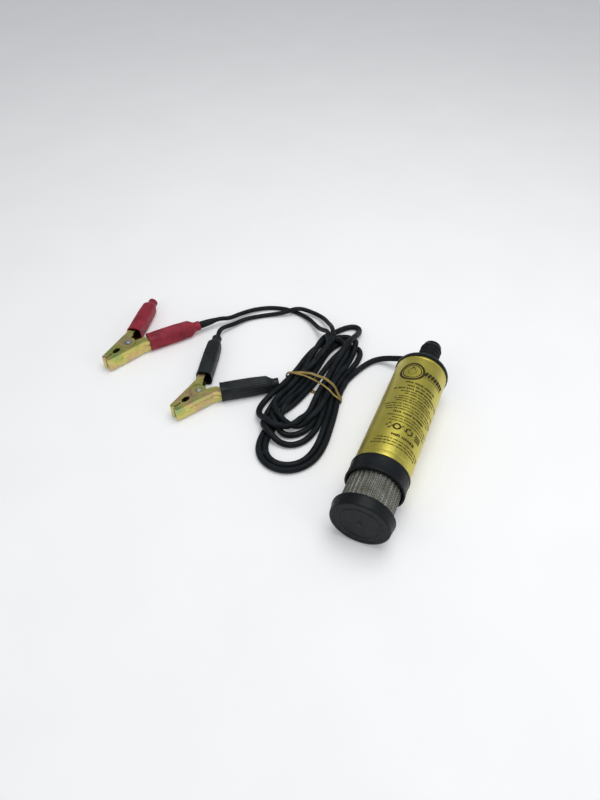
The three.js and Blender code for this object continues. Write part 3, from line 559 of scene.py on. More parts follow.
def woven_wire():
    """A plain weave of thin wire round the pump's axis: painted shade in the dark gaps between the wires and
    painted highlights on the wire crests.
    """
    look = Look("woven_wire", (0.4, 0.38, 0.33), 0.42, 0.75)
    x, y, z = look.parts()
    angle = look.math("ARCTAN2", x, look.math("SUBTRACT", z, AXIS_Z))
    round_way = look.math("MULTIPLY", angle, MESH_TOP * math.pi / WIRE_PITCH)
    long_way = look.math("MULTIPLY", y, math.pi / WIRE_PITCH)
    warp = look.math("ABSOLUTE", look.math("SINE", round_way))
    weft = look.math("ABSOLUTE", look.math("SINE", long_way))
    wire = look.math("MAXIMUM", warp, weft)
    lie = look.math("MULTIPLY", look.math("COSINE", round_way), look.math("COSINE", long_way))
    height = look.math("ADD", wire, look.math("MULTIPLY", lie, 0.25))
    # Colour by weave height is painted light: near black in the gaps as painted shade, brightest on the
    # crests as a painted highlight.
    weave_shade_and_highlight = look.ramp(
        height, (0.45, (0.03, 0.031, 0.028)), (0.8, (0.17, 0.175, 0.16)), (1.0, (0.33, 0.34, 0.3)),
    )
    stain = look.ramp(look.noise(0.12, 4), (0.35, (0.6, 0.57, 0.5)), (0.65, (1.0, 1.0, 1.0)))
    look.colour(look.mix(1.0, weave_shade_and_highlight, stain, "MULTIPLY"))
    look.bump(height, 0.3)
    return look.material


def rubber_tie():
    look = Look("amber_rubber", (0.28, 0.19, 0.045), 0.5, Specular_IOR_Level=0.35)
    look.colour(look.ramp(look.noise(0.12, 4), (0.35, (0.19, 0.13, 0.03)), (0.65, (0.36, 0.255, 0.075))))
    look.bump(look.noise(0.9, 4, (0.3, 1, 1)), 0.08)
    return look.material


def printing_ink():
    look = Look("dark_ink", (0.03, 0.025, 0.012), 0.85, Specular_IOR_Level=0.1)
    look.colour(look.ramp(look.noise(0.6, 3), (0.35, (0.02, 0.018, 0.01)), (0.7, (0.07, 0.055, 0.02))))
    look.bump(look.noise(2.0, 2), 0.01)
    return look.material


def pale_floor():
    look = Look("pale_floor", (0.9, 0.9, 0.9), 0.85, Emission_Color=(1, 1, 1, 1), Emission_Strength=0.12)
    look.colour(look.ramp(look.noise(0.01, 3), (0.3, (0.89, 0.89, 0.89)), (0.7, (0.92, 0.92, 0.92))))
    return look.material


# -------------------- mesh helpers


def mesh_piece(name, points, faces, body, slot, sharp=38):
    """A smooth-shaded mesh from points in millimetres, riding on a body."""
    mesh = bpy.data.meshes.new(name)
    mesh.from_pydata([metres(p) for p in points], [], faces)
    work = bmesh.new()
    work.from_mesh(mesh)
    bmesh.ops.recalc_face_normals(work, faces=work.faces)
    work.to_mesh(mesh)
    work.free()
    mesh.polygons.foreach_set("use_smooth", [True] * len(mesh.polygons))
    mesh.set_sharp_from_angle(angle=math.radians(sharp))
    piece = bpy.data.objects.new(name, mesh)
    bpy.context.scene.collection.objects.link(piece)
    return dress(piece, body, slot)


def dress(piece, body, slot, look=None):
    piece.data.materials.append(look or LOOKS[slot])
    if body:
        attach(piece, body)
    return piece


def skin(rows, joined=False):
    """Points and faces of a closed surface through rings of points, capped or joined up."""
    count = len(rows[0])
    points = [p for row in rows for p in row]
    faces = []
    spans = len(rows) if joined else len(rows) - 1
    for i in range(spans):
        a, b = i * count, (i + 1) % len(rows) * count
        for j in range(count):
            k = (j + 1) % count
            faces.append((a + j, a + k, b + k, b + j))
    if not joined:
        faces.append(tuple(range(count)))
        faces.append(tuple(range((len(rows) - 1) * count, len(rows) * count)))
    return points, faces


def angles(sides):
    """Evenly spaced angles all the way round."""
    return [2 * math.pi * k / sides for k in range(sides)]


def rounded(corners, joined=True, steps=4):
    """Rounds each corner of an outline by its third number."""
    soft = []
    for i, corner in enumerate(corners):
        p = np.array(corner[:2], float)
        bend = corner[2] if len(corner) > 2 else 0
        if bend == 0 or (not joined and i in (0, len(corners) - 1)):
            soft.append(tuple(p))
            continue
        before = np.array(corners[i - 1][:2], float) - p
        after = np.array(corners[(i + 1) % len(corners)][:2], float) - p
        cut = min(bend, 0.48 * np.linalg.norm(before), 0.48 * np.linalg.norm(after))
        a = p + before / np.linalg.norm(before) * cut
        b = p + after / np.linalg.norm(after) * cut
        for k in range(steps + 1):
            t = k / steps
            soft.append(tuple(a * (1 - t) ** 2 + p * 2 * t * (1 - t) + b * t ** 2))
    return soft


def turned(name, outline, body, slot, joined=True, sides=120, centre=(0.0, AXIS_Z)):
    """A turned piece along the pump: an outline of (radius, station) round an axis."""
    rows = []
    for r, station in outline:
        y = station - HALF_LENGTH
        rows.append([(centre[0] + r * math.sin(a), y, centre[1] + r * math.cos(a)) for a in angles(sides)])
    return mesh_piece(name, *skin(rows, joined), body, slot)


def smooth_step(value, start, end):
    share = min(1.0, max(0.0, (value - start) / (end - start)))
    return share * share * (3 - 2 * share)


# -------------------- pump

TUBE_R = 25.5
MESH_TOP = 22.75
WIRE_PITCH = 1.45
PLEATS = 33
PLEAT_DEEP = 0.5
PLEAT_WALL = 0.35
LETTERS = random.Random(11)
PRINT_TOP = 0.05
PRINT_ROOT = 0.15


def cap_shell():
    face, edge = 26.2, 27.5
    return turned("cap_shell", rounded([
        (2, 0.3), (17.1, 0.3), (17.4, 0.0, 0.2), (18.4, 0.0, 0.2), (18.7, 0.3), (22.6, 0.3), (22.9, 0.0, 0.2),
        (face - 0.1, 0.0, 1.1), (edge - 0.3, 8.6, 0.5), (edge, 9.0, 0.3), (edge, 10.5, 0.6),
        (24, 10.5, 0.5), (24, 3), (2, 3),
    ], joined=False), "strainer", "black_plastic", joined=False)


def droplet(size, steps):
    """Half widths of a droplet, from its foot to its tip."""
    for k in range(steps + 1):
        u = k / steps
        yield (u - 0.38) * 2.6 * size, size * math.sin(math.pi * u ** 0.72) * (1 - 0.45 * u)


def cap_emblem():
    """A plain droplet, raised a little in the middle of the cap's face."""
    rows = []
    for y, high in ((0.6, 1.0), (0.12, 1.0), (0.0, 0.88)):
        left = [(-w * high, y - HALF_LENGTH, AXIS_Z + h * high) for h, w in droplet(3.4, 16)]
        right = [(w * high, y - HALF_LENGTH, AXIS_Z + h * high) for h, w in list(droplet(3.4, 16))[-2:0:-1]]
        rows.append(left + right)
    return mesh_piece("cap_emblem", *skin(rows), "strainer", "black_plastic")


def pleated_screen():
    """The wire screen: one long sheet folded into shallow pleats round the cage."""
    sides = PLEATS * 10
    rows = []

    def ring_at(station, inset):
        row = []
        squeeze = smooth_step(station, 6, 14) * (1 - 0.4 * smooth_step(station, 40, 50))
        for turn in angles(sides):
            fold = math.cos(turn * PLEATS + 0.25 * math.sin(station * 0.35))
            wobble = 0.1 * math.sin(turn * 5 + station * 0.2)
            r = MESH_TOP + (PLEAT_DEEP * fold * abs(fold) ** -0.35 + wobble) * squeeze - inset
            row.append((r * math.sin(turn), station - HALF_LENGTH, AXIS_Z + r * math.cos(turn)))
        return row

    stations = [3.4 + (50 - 3.4) * k / 30 for k in range(31)]
    rows += [ring_at(station, 0) for station in stations]
    rows += [ring_at(station, PLEAT_WALL) for station in reversed(stations)]
    return mesh_piece("pleated_screen", *skin(rows, True), "strainer", "steel_mesh", sharp=80)


def collar_shell():
    rim, waist, seat, groove, bore = 26.8, 26.4, 23.7, 22.5, 24.3
    return turned("collar_shell", rounded([
        (rim, 37.9, 0.9), (rim, 40.6, 0.3), (waist, 41.0, 0.3), (waist, 52.6, 0.3), (rim, 53.0, 0.3),
        (rim, 55.1, 0.5), (seat, 55.1), (seat, 58.5), (groove, 58.5), (groove, 60.7), (seat, 60.7),
        (seat, 66, 0.4), (21.5, 66), (21.5, 54), (7.5, 54, 0.4), (7.5, 51, 0.4), (bore, 51, 0.5),
        (bore, 38.9, 0.4), (25.1, 37.9, 0.5),
    ]), "root", "black_plastic")


def tube_shell():
    outline = [(TUBE_R, 55.4, 0.35)]
    for groove in (61.8, 184.6):
        outline += [(TUBE_R, groove - 0.35, 0.1), (25.3, groove), (TUBE_R, groove + 0.35, 0.1)]
    outline += [(TUBE_R, 187.1, 0.35), (24, 187.1, 0.2), (24, 55.4, 0.2)]
    return turned("tube_shell", rounded(outline, steps=3), "root", "gold_aluminium", sides=160)


def barb_outline():
    root, ridge, plain, pitch, ridges = 9.3, 11.0, 3.2, 5.6, 6
    outline = [(root, COVER_FACE, 1.2)]
    for i in range(ridges):
        start = COVER_FACE + plain + i * pitch
        outline.append((root, start, 0.5))
        outline.append((ridge, start + 0.28 * pitch, 0.7))
        outline.append((ridge - 0.15, start + 0.42 * pitch, 0.5))
        outline.append((root, start + 0.9 * pitch, 0.5))
    return outline + [(9.5, PUMP_LENGTH - 1.6, 0.4), (9.3, PUMP_LENGTH, 0.9), (8, PUMP_LENGTH, 0.5)]


def cover_shell():
    flange = 26.5
    return turned("cover_shell", rounded([
        (21.5, 176), (23.7, 176, 0.4), (23.7, 180), (22.5, 180), (22.5, 182.2), (23.7, 182.2), (23.7, 187.4),
        (flange, 187.4, 0.5), (flange, 190.6, 1.6), (24.6, COVER_FACE, 2.4), (12.5, COVER_FACE, 0.4),
    ] + barb_outline() + [(8, 188.4, 0.3), (21.5, 188.4)]), "root", "black_plastic")


def gland_shell():
    face = COVER_FACE
    outline = [
        (3.2, 187.0), (4.9, 187.0), (4.9, 188.1), (3.9, 188.1), (3.9, face + 0.1), (6.2, face + 0.1, 0.5),
        (6.0, face + 1.8, 0.5),
    ]
    for i in range(3):
        start = face + 2.3 + i * 2.3
        outline += [(4.4 - 0.25 * i, start, 0.25), (4.9 - 0.28 * i, start + 0.7, 0.3),
                    (4.8 - 0.28 * i, start + 1.4, 0.3)]
    outline += [(3.7, face + 9.6, 0.4), (3.45, face + 10.4, 0.2), (3.16, face + 10.4), (3.16, 187.0)]
    centre = (GLAND_X, GLAND_Z)
    return turned("gland_shell", rounded(outline), "root", "seal_rubber", sides=48, centre=centre)


# -------------------- print on the tube

# Rows of small marks: station, first and last angle in degrees, how tall, and how bold.
PRINT_ROWS = [
    (148, -15, 57, 2.0, 1.0), (143.6, -9, 50, 2.0, 1.0), (139.4, -36, 84, 2.1, 1.1),
    (135.6, -18, 61, 1.5, 0.8), (132.5, -8, 50, 1.5, 0.8), (128.6, -18, 63, 1.3, 0.7),
    (125.6, -25, 69, 1.3, 0.7), (122.6, -20, 63, 1.3, 0.7), (118.6, -44, 90, 1.3, 0.7),
    (115.2, -41, 82, 1.3, 0.7), (112, -35, 72, 1.3, 0.7), (108, -15, 60, 2.2, 1.15),
    (103.6, -25, 71, 1.3, 0.7), (100.4, -13, 62, 1.3, 0.7), (97.2, -18, 65, 1.3, 0.7),
    (81, -1, 46, 2.8, 1.3), (75.6, -27, 76, 1.3, 0.7), (72.3, -31, 73, 1.3, 0.7),
    (69.2, -37, 63, 1.3, 0.7), (160.2, 14, 70, 1.0, 0.55),
]
EMBLEM = (-12, 163.5)  # its middle's angle and station
EMBLEM_RINGS = [(11.2, 1.15), (8.7, 0.5)]  # each ring's radius and half the width of its line
# The signs in a row under the print: angle, number of sides and size.
SIGNS = [(-12, 4, 3.2), (3, 24, 3.0), (15, 3, 3.2), (30, 6, 3.4)]
SIGN_ROW = 90.5
PER_DEGREE = TUBE_R * math.pi / 180


def printed(points, faces, path, halves, joined=False):
    """Adds one thin closed stroke along a path of (arc, station) points to the print."""
    rows = []
    count = len(path)
    for i, (place, half) in enumerate(zip(path, halves)):
        before = np.array(path[i - 1] if joined or i else path[0], float)
        after = np.array(path[(i + 1) % count] if joined or i < count - 1 else path[-1], float)
        way = after - before
        way /= np.linalg.norm(way)
        side = np.array([-way[1], way[0]]) * half
        corners = []
        for sign, top in ((-1, PRINT_TOP), (1, PRINT_TOP), (1, -PRINT_ROOT), (-1, -PRINT_ROOT)):
            arc, station = np.array(place, float) + sign * side
            angle = math.radians(arc / PER_DEGREE)
            r = TUBE_R + top
            corners.append((r * math.sin(angle), station - HALF_LENGTH, AXIS_Z + r * math.cos(angle)))
        rows.append(corners)
    more_points, more_faces = skin(rows, joined)
    base = len(points)
    points += more_points
    faces += [tuple(base + k for k in face) for face in more_faces]


def ring_path(arc, station, r, sides=48):
    return [(arc + r * math.sin(a), station + r * math.cos(a)) for a in angles(sides)]


def bar_path(arc0, arc1, station):
    steps = max(1, int(abs(arc1 - arc0) / 1.5))
    return [(arc0 + (arc1 - arc0) * k / steps, station) for k in range(steps + 1)]


def print_words(points, faces, row):
    """A row of short upright strokes in groups, which reads as small print from afar."""
    station, first, last, tall, bold = row
    arc, end = first * PER_DEGREE, last * PER_DEGREE
    while arc < end:
        for _ in range(LETTERS.randint(3, 9)):
            wide = LETTERS.uniform(0.75, 1.15) * bold
            high = tall * LETTERS.choice((0.8, 0.85, 1.15)) / 2
            printed(points, faces, [(arc, station - high), (arc, station + high)], [wide / 2] * 2)
            if LETTERS.random() < 0.6:
                level = station + high * LETTERS.choice((-0.75, 0, 0.75))
                printed(points, faces, bar_path(arc, arc + wide + 0.4 * bold, level), [0.24 * bold] * 2)
            arc += wide + 0.3 * bold
        arc += 1.1 * bold


def tube_print():
    """A double ring with a droplet, slanted bars beside it, rows of marks and a row of signs."""
    points, faces = [], []
    emblem = (EMBLEM[0] * PER_DEGREE, EMBLEM[1])
    for r, half in EMBLEM_RINGS:
        printed(points, faces, ring_path(*emblem, r), [half] * 48, True)
    drop = [(emblem[0], emblem[1] + h) for h, w in droplet(4.6, 16)]
    printed(points, faces, drop, [max(0.05, w) for h, w in droplet(4.6, 16)])
    for i in range(7):
        foot = (16 + 8 * i) * PER_DEGREE
        printed(points, faces, [(foot, 162), (foot + 1.2, 165), (foot + 2.4, 168)], [1.4] * 3)
    for row in PRINT_ROWS:
        print_words(points, faces, row)
    for at, sides, size in SIGNS:
        printed(points, faces, ring_path(at * PER_DEGREE, SIGN_ROW, size, sides), [0.85] * sides, True)
    for i in range(4):
        bar = bar_path(46 * PER_DEGREE, 64 * PER_DEGREE, SIGN_ROW - 2.7 + 1.8 * i)
        printed(points, faces, bar, [0.6] * 9)
    piece = mesh_piece("printed_marks", points, faces, None, "gold_aluminium", sharp=20)
    piece.data.materials[0] = printing_ink()
    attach(piece, "root")
    return piece


# -------------------- clips

RIBS = 22
RIB_DEEP = 0.42
RIB_STEPS = 6
NIPPLE_R = 5.2
# Where a sleeve's rings lie along it: close together at its lip and its narrow tail.
GRIP_SHARES = [0, 0.012, 0.03, 0.045, 0.07]
GRIP_SHARES += [0.07 + 0.68 * k / 10 for k in range(1, 11)]
GRIP_SHARES += [0.78, 0.8, 0.825, 0.85, 0.875, 0.9, 0.92, 0.945, 0.96, 0.97, 0.985, 1.0]
RIVET_SHANK = 2.3
SPRING_R = 4.2
SPRING_WIRE_R = 0.7
SPRING_HALF = 3.3
SPRING_TURNS = 3.5
SPRING_STEPS = 20
LEG_AT = 14
LEG_OUT = 3.4
# The middle of an arm's web from the nose to the pivot, and its distance from a handle's axis.
WEB_LINE = [(-19, 7.85), (-12, 9.2), (0, 11.6)]
WEB_OUT = 5.6
WEB_RIB_HALF = 2.0
WEB_RIB_PROUD = 0.75
RIVET_HEAD = [
    (3.9, 7.5), (3.95, 7.62), (3.85, 7.75), (3.0, 7.85), (2.9, 8.2), (2.6, 8.6), (2.0, 8.85), (1.2, 8.95),
    (0.3, 8.95),
]


def handle_point(clip, t, outwards, high, moving):
    """The same for a point along a handle, a distance out from its axis and a height."""
    x, y, _ = on_handle(clip, t, outwards, moving)
    return (x, y, CLIP_Z + high)


def grip_section(clip, share, wall, moving):
    """One ring of a sleeve: a squarish oval with ribs, round at its narrow tail."""
    slide, stretch, ribs = SLEEVES[clip["name"], "moving" if moving else "fixed"]
    tail = 0.12 * smooth_step(share, 0.5, 0.8) + 0.88 * smooth_step(share, 0.78, 0.925)
    lip = (1 - smooth_step(share, 0.028, 0.05)) + 0.5 * smooth_step(share, 0.95, 0.965)
    ribbed = smooth_step(share, 0.06, 0.1) * (1 - smooth_step(share, 0.8, 0.88)) * (0 if wall else ribs)
    belly = 1 + 0.012 * math.sin(math.pi * min(1, share / 0.76))
    row = []
    for angle in angles(RIBS * RIB_STEPS):
        c, s = math.cos(angle), math.sin(angle)
        square = (abs(c) ** 3.2 + abs(s) ** 3.2) ** (-1 / 3.2)
        rib = RIB_DEEP * ribbed * (abs(math.cos(angle * RIBS / 2)) ** 0.6 - 0.7)
        wave = 0.05 * lip * math.cos(angle * 10) * (0 if wall else 1)
        across = (GRIP_WIDE * belly * square) * (1 - tail) + NIPPLE_R * tail + lip * 0.2 + rib + wave - wall
        tall = (GRIP_TALL * belly * square) * (1 - tail) + NIPPLE_R * tail + lip * 0.3 + rib + wave - wall
        t = GRIP_START + slide + (GRIP_LONG + stretch) * share
        row.append(handle_point(clip, t, across * c, tall * s, moving))
    return row


def grip_shell(clip, moving):
    rows = [grip_section(clip, share, 0, moving) for share in GRIP_SHARES]
    rows += [grip_section(clip, share, GRIP_WALL, moving) for share in reversed(GRIP_SHARES)]
    word = "moving" if moving else "fixed"
    body = f"{clip['name']}_lever" if moving else "root"
    name, slot = f"{clip['name']}_{word}_sleeve", f"{clip['name']}_vinyl"
    piece = mesh_piece(name, *skin(rows, True), body, slot, sharp=50)
    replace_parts(piece, f"{clip['name']}_clip_{word}_grip")
    return piece


def along_fixed_handle(clip, name, outline, slot, sides=32):
    """A turned piece on the fixed handle's axis, from an outline of (radius, t)."""
    rows = []
    for r, t in outline:
        row = [handle_point(clip, t, r * math.cos(a), r * math.sin(a), False) for a in angles(sides)]
        rows.append(row)
    return mesh_piece(name, *skin(rows), "root", slot)


def boot_shell(clip):
    """The jacket's thicker end, which goes into the fixed grip."""
    tail = GRIP_START + GRIP_LONG
    end = tail + clip["boot"]
    outline = [(3.2, 50.4), (4.1, tail - 2), (4.1, tail + 1.2, 0.4)]
    if clip["boot"] > 10:
        outline += [(3.95, tail + 7, 1.0), (3.6, tail + 12, 2.0), (3.0, end - 1.4, 0.4)]
    else:
        outline.append((4.1, end - 0.5, 0.4))
    outline.append((2.56, end + 0.2, 0.1))
    piece = along_fixed_handle(clip, f"{clip['name']}_boot", rounded(outline, False), "cord_rubber")
    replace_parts(piece, f"{clip['name']}_clip_lead_boot")
    return piece


def rivet_shell(clip):
    """A peened rivet: round and smooth on one clip, with a pressed star on the other."""
    sides = 60
    star = 0.0 if clip["name"] == "red" else 0.28
    head = 1.0 if clip["name"] == "red" else 0.74
    above = [(r * head, z) for r, z in RIVET_HEAD]
    below = [(r, -z) for r, z in reversed(above)]
    outline = below + [(RIVET_SHANK, -7.5), (RIVET_SHANK, 7.5)] + above
    rows = []
    for r, z in outline:
        deep = star * math.exp(-((r - 1.6) / 0.9) ** 2) * (1 if abs(z) > 8 else 0)
        row = []
        for a in angles(sides):
            dent = math.copysign(deep * (1 + math.cos(6 * a)), z)
            row.append(clip_point(clip, r * math.cos(a), r * math.sin(a), z - dent))
        rows.append(row)
    piece = mesh_piece(f"{clip['name']}_rivet_head", *skin(rows), "root", "steel")
    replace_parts(piece, f"{clip['name']}_clip_rivet")
    return piece


def wire_mesh(name, path, r, body, slot, sides=10):
    """A closed round wire through points, with a frame carried along it."""
    path = np.array(path, float)
    way = np.gradient(path, axis=0)
    way /= np.linalg.norm(way, axis=1)[:, None]
    up = np.array([0.0, 0.0, 1.0]) if abs(way[0][2]) < 0.9 else np.array([1.0, 0.0, 0.0])
    rows = []
    for place, forward in zip(path, way):
        side = np.cross(forward, up)
        side /= np.linalg.norm(side)
        up = np.cross(side, forward)
        rows.append([tuple(place + r * (math.cos(a) * side + math.sin(a) * up)) for a in angles(sides)])
    return mesh_piece(name, *skin(rows), body, slot, sharp=60)


def spring_wire(clip):
    """A torsion spring: a coil round the rivet, with a leg along the inside of each handle."""
    leg = np.array(handle_point(clip, LEG_AT, LEG_OUT, 0, False))
    other = np.array(handle_point(clip, LEG_AT, LEG_OUT, 0, True))
    coil = []
    count = int(SPRING_TURNS * SPRING_STEPS)
    for i in range(count + 1):
        share = i / count
        angle = -math.pi / 2 - share * SPRING_TURNS * 2 * math.pi
        across, along = SPRING_R * math.cos(angle), SPRING_R * math.sin(angle)
        coil.append(clip_point(clip, across, along, (2 * share - 1) * SPRING_HALF))
    leg[2] = coil[0][2]
    other[2] = coil[-1][2]
    first = [leg + (np.array(coil[0]) - leg) * k / 6 for k in range(6)]
    last = [np.array(coil[-1]) + (other - np.array(coil[-1])) * k / 6 for k in range(1, 7)]
    piece = wire_mesh(f"{clip['name']}_spring_wire", first + coil + last, SPRING_WIRE_R, None, "steel")
    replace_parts(piece, f"{clip['name']}_clip_spring")
    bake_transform(piece)
    return piece


def web_rib(clip, moving):
    """The long rib pressed into an arm's web, to stiffen it."""
    side = 1 if moving else -1
    angle = math.radians(clip["handle"])
    along = np.array([math.cos(angle), math.sin(angle)])
    out = np.array([-along[1], along[0]])
    line = [np.array(p) for p in WEB_LINE]
    line += [np.array(BEND) + along * t + out * WEB_OUT for t in (4, 11)]
    path = []
    for a, b in zip(line, line[1:]):
        for k in range(8):
            path.append(a + (b - a) * k / 8)
    path.append(line[-1])
    rows = []
    for i, place in enumerate(path):
        way = path[min(i + 1, len(path) - 1)] - path[max(i - 1, 0)]
        way /= np.linalg.norm(way)
        out = np.array([-way[1], way[0]])
        share = i / (len(path) - 1)
        size = math.sqrt(max(0.03, 1 - abs(2 * share - 1) ** 8))
        row = []
        for angle in angles(16):
            c, s = math.cos(angle), math.sin(angle)
            high = WEB_RIB_HALF * size * math.copysign(abs(c) ** 0.6, c)
            proud = WEB_RIB_PROUD * size * math.copysign(abs(s) ** 0.6, s)
            x, y = place + out * proud
            row.append(clip_point(clip, x, side * y, high))
        rows.append(row)
    word = "moving" if moving else "fixed"
    body = f"{clip['name']}_lever" if moving else "root"
    return mesh_piece(f"{clip['name']}_{word}_rib", *skin(rows), body, "zinc_steel")


def soften_arm(name):
    """Rounds the pressed steel's edges a little."""
    bevel = frame["nodes"][name].modifiers.new("pressed_edges", "BEVEL")
    bevel.width = 0.7 * MM
    bevel.segments = 3
    bevel.limit_method = "ANGLE"
    bevel.angle_limit = math.radians(30)
    bevel.harden_normals = False


def clip_pieces(clip):
    """Makes a clip's pieces; returns those near its lead."""
    made = [boot_shell(clip), grip_shell(clip, False), grip_shell(clip, True)]
    rivet_shell(clip)
    spring_wire(clip)
    web_rib(clip, False)
    web_rib(clip, True)
    for word in ("fixed", "moving"):
        node = f"{clip['name']}_clip_{word}_arm"
        soften_arm(node)
        made.append(frame["nodes"][node])
    made.append(frame["nodes"][f"{clip['name']}_clip_ferrule"])
    return made


# -------------------- yoke and band


# The yoke's rings, before its front: how far along, half the width and half the height.
YOKE_RINGS = [
    (-0.4, 3.15, 3.15), (-0.2, 3.6, 3.6), (0.4, 3.8, 3.75), (2.5, 4.1, 3.8), (5, 4.6, 3.75), (8, 5.2, 3.55),
    (10.6, 5.5, 3.45), (11.2, 5.85, 3.8), (12.2, 5.9, 3.85),
]


def yoke_shell():
    """The moulded sleeve where the round cord divides: round behind, oval in front."""
    back, _, long, way, across = yoke_axes()
    up = np.cross(across, way)
    rows = []
    for t, wide, tall in YOKE_RINGS + [(long + 0.2, 5.75, 3.7), (long + 0.35, 5.4, 3.3)]:
        centre = back + way * t
        wide, tall = across * wide, up * tall
        rows.append([tuple(centre + wide * math.cos(a) + tall * math.sin(a)) for a in angles(40)])
    piece = mesh_piece("yoke_sleeve", *skin(rows), "root", "cord_rubber")
    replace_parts(piece, "cord_split")
    return piece


BAND_GAP = 0.5
BAND_THICK = 0.9
BAND_LIFT = 0.1
# The band's section: shares of its half width and of its thickness.
BAND_SECTION = [
    (-1, 0.15), (-0.75, 0), (0.75, 0), (1, 0.15), (1, 0.75), (0.75, 0.9), (-0.75, 0.9), (-1, 0.75),
]
# The two turns of the band over the top of the hank, as (across, along) points.
BAND_TURNS = [
    {
        "name": "band_wide_turn", "wide": 3.2, "under": 37.5,
        "line": [(-132, 37.5), (-126, 39.5), (-118, 43), (-108, 45.5), (-91, 44), (-78, 38), (-68, 30)],
    },
    {
        "name": "band_narrow_turn", "wide": 2.0, "under": 35.5,
        "line": [(-132, 36.5), (-126, 37.5), (-113, 39), (-102, 37.5), (-90, 34), (-79, 29), (-68, 26)],
    },
]


def hull(points):
    """The convex outline of points in a plane, anticlockwise."""
    points = sorted(set(points))
    halves = []
    for run in (points, points[::-1]):
        chain = []
        for p in run:
            while len(chain) > 1:
                (ax, ay), (bx, by) = chain[-2], chain[-1]
                if (bx - ax) * (p[1] - ay) - (by - ay) * (p[0] - ax) > 0:
                    break
                chain.pop()
            chain.append(p)
        halves.append(chain[:-1])
    return halves[0] + halves[1]


def waist_outline(points, low, high, grow):
    """A smooth loop in the (x, z) plane round all the cord between two stations."""
    near = points[(points[:, 1] > low) & (points[:, 1] < high)]
    rim = []
    r = CORD_D / 2 + grow
    for x, _, z in near:
        for angle in angles(16):
            high = max(BAND_THICK, z + r * math.sin(angle))
            rim.append((round(x + r * math.cos(angle), 3), round(high, 3)))
    outline = np.array(hull(rim))
    closed = np.vstack([outline, outline[:1]])
    flat = np.column_stack([closed, np.zeros(len(closed))])
    return evenly(flat, 2.0)[:-1, :2]


def band_turn(points, turn):
    """One turn of the band: its line over the hank's top, and back straight underneath."""
    line = np.array(turn["line"], float)
    outline = waist_outline(points, line[:, 1].min(), line[:, 1].max(), BAND_GAP)
    outline = np.roll(outline, -int(np.argmin(outline[:, 0])), axis=0)[::-1]
    middle = (outline[:, 1].max() + outline[:, 1].min()) / 2
    left, right = outline[:, 0].min(), outline[:, 0].max()
    half = turn["wide"] / 2
    rows = []
    for i, (x, z) in enumerate(outline):
        before, after = outline[i - 1], outline[(i + 1) % len(outline)]
        way = (after - before) / np.linalg.norm(after - before)
        out = np.array([-way[1], way[0]])
        top = smooth_step(z, middle - 4, middle + 4)
        share = (x - left) / (right - left)
        over = float(np.interp(line[0][0] + (line[-1][0] - line[0][0]) * share, line[:, 0], line[:, 1]))
        under = turn["under"] - 7 * share
        y = over * top + under * (1 - top)
        ring = []
        for across, proud in BAND_SECTION:
            place = np.array([x, z]) + out * (proud * BAND_THICK + BAND_LIFT)
            ring.append((float(place[0]), float(y + across * half), float(max(0.05, place[1]))))
        rows.append(ring)
    return mesh_piece(turn["name"], *skin(rows, True), "root", "band_rubber", sharp=60)


def band_pieces(points):
    """One rubber band, wound twice round the hank's waist."""
    turns = [band_turn(points, turn) for turn in BAND_TURNS]
    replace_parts(turns[0], "rubber_band")
    return turns


# -------------------- everything together

LOOKS = {
    "black_plastic": dark_plastic("satin_black", (0.0075, 0.0095, 0.011), 0.4),
    "gold_aluminium": gold_anodised(),
    "steel_mesh": woven_wire(),
    "steel": plain_metal("plain_steel", (0.42, 0.43, 0.42), 0.42),
    "zinc_steel": zinc_plate(),
    "brass": plain_metal("turned_brass", (0.6, 0.45, 0.15), 0.3),
    "bronze": plain_metal("sintered_bronze", (0.45, 0.3, 0.12), 0.5),
    "copper": plain_metal("bare_copper", (0.6, 0.28, 0.12), 0.35),
    "magnet": plain_metal("ferrite", (0.04, 0.04, 0.045), 0.6),
    "carbon": soft_rubber("pressed_carbon", (0.02, 0.02, 0.02), 0.6),
    "seal_rubber": soft_rubber("seal_rubber", (0.007, 0.009, 0.0105), 0.5),
    "cord_rubber": soft_rubber("cord_jacket", (0.0065, 0.009, 0.011), 0.5),
    "red_vinyl": dipped_vinyl("red_vinyl", (0.27, 0.016, 0.034), 0.46),
    "black_vinyl": dipped_vinyl("black_vinyl", (0.0075, 0.0105, 0.0125), 0.46),
    "band_rubber": rubber_tie(),
}

for entry in frame["record"]["subparts"]:
    for place in frame["nodes"][entry["node"]].material_slots:
        place.material = LOOKS[entry["material_slot"]]

for piece in (cord_main, red_lead, black_lead):
    dress(piece, "root", "cord_rubber")

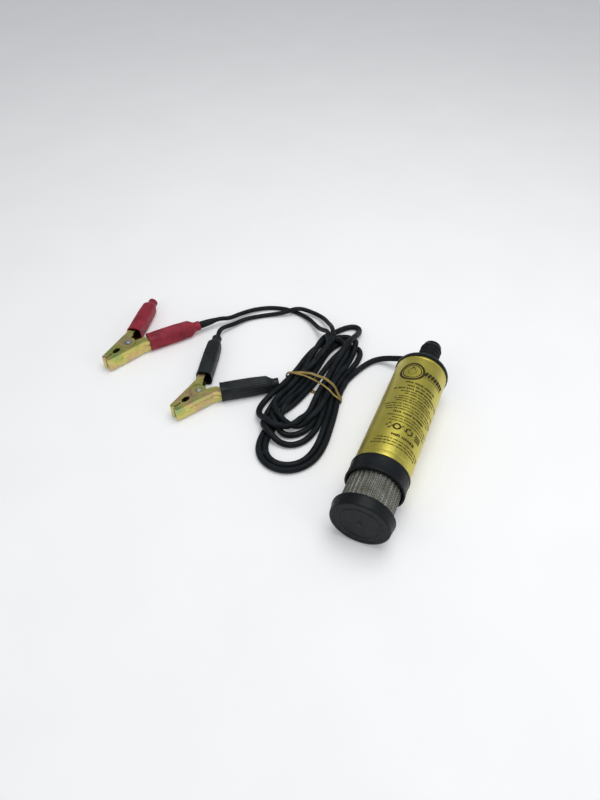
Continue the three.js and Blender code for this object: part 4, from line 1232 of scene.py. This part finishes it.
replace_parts(cap_shell(), "strainer_cap")
cap_emblem()
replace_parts(pleated_screen(), "strainer_mesh")
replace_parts(collar_shell(), "intake_collar")
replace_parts(tube_shell(), "housing_tube")
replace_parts(cover_shell(), "outlet_cover")
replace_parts(gland_shell(), "cable_gland")
tube_print()
yoke = yoke_shell()
band = band_pieces(main_points)
red_pieces = clip_pieces(RED_CLIP)
black_pieces = clip_pieces(BLACK_CLIP)


# -------------------- light and floor


def soft_light(name, place, aim, size, power):
    data = bpy.data.lights.new(name, "AREA")
    data.shape = "RECTANGLE"
    data.size, data.size_y = size
    data.energy = power
    lamp = bpy.data.objects.new(name, data)
    lamp.location = place
    lamp.rotation_euler = (Vector(aim) - Vector(place)).to_track_quat("-Z", "Y").to_euler()
    bpy.context.scene.collection.objects.link(lamp)


# Each lamp: where it hangs, what it faces, its size in metres and its power in watts.
LAMPS = {
    "overhead": ((0.05, 0.1, 1.1), (-0.1, 0.02, 0), (0.9, 0.7), 6.4),
    "front": ((-0.5, -1.0, 0.9), (-0.1, 0, 0), (0.9, 0.6), 1.6),
    "right": ((0.95, -0.1, 0.5), (0, 0, 0.02), (0.6, 0.6), 1.6),
}
AIR_COLOUR = (0.92, 0.95, 1.0, 1)
AIR_STRENGTH = 0.4
FLOOR_HALF = 4000


def studio():
    for name, (place, aim, size, power) in LAMPS.items():
        soft_light(name, place, aim, size, power)
    world = bpy.data.worlds.new("studio_air")
    world.use_nodes = True
    air = world.node_tree.nodes["Background"]
    air.inputs["Color"].default_value = AIR_COLOUR
    air.inputs["Strength"].default_value = AIR_STRENGTH
    bpy.context.scene.world = world
    bpy.context.scene.view_settings.view_transform = "Standard"


def floor():
    half = FLOOR_HALF
    corners = [(-half, -half, 0), (half, -half, 0), (half, half, 0), (-half, half, 0)]
    mesh = bpy.data.meshes.new("studio_floor")
    mesh.from_pydata([metres(c) for c in corners], [], [(0, 1, 2, 3)])
    ground = bpy.data.objects.new("studio_floor", mesh)
    ground.data.materials.append(pale_floor())
    bpy.context.scene.collection.objects.link(ground)


studio()
floor()
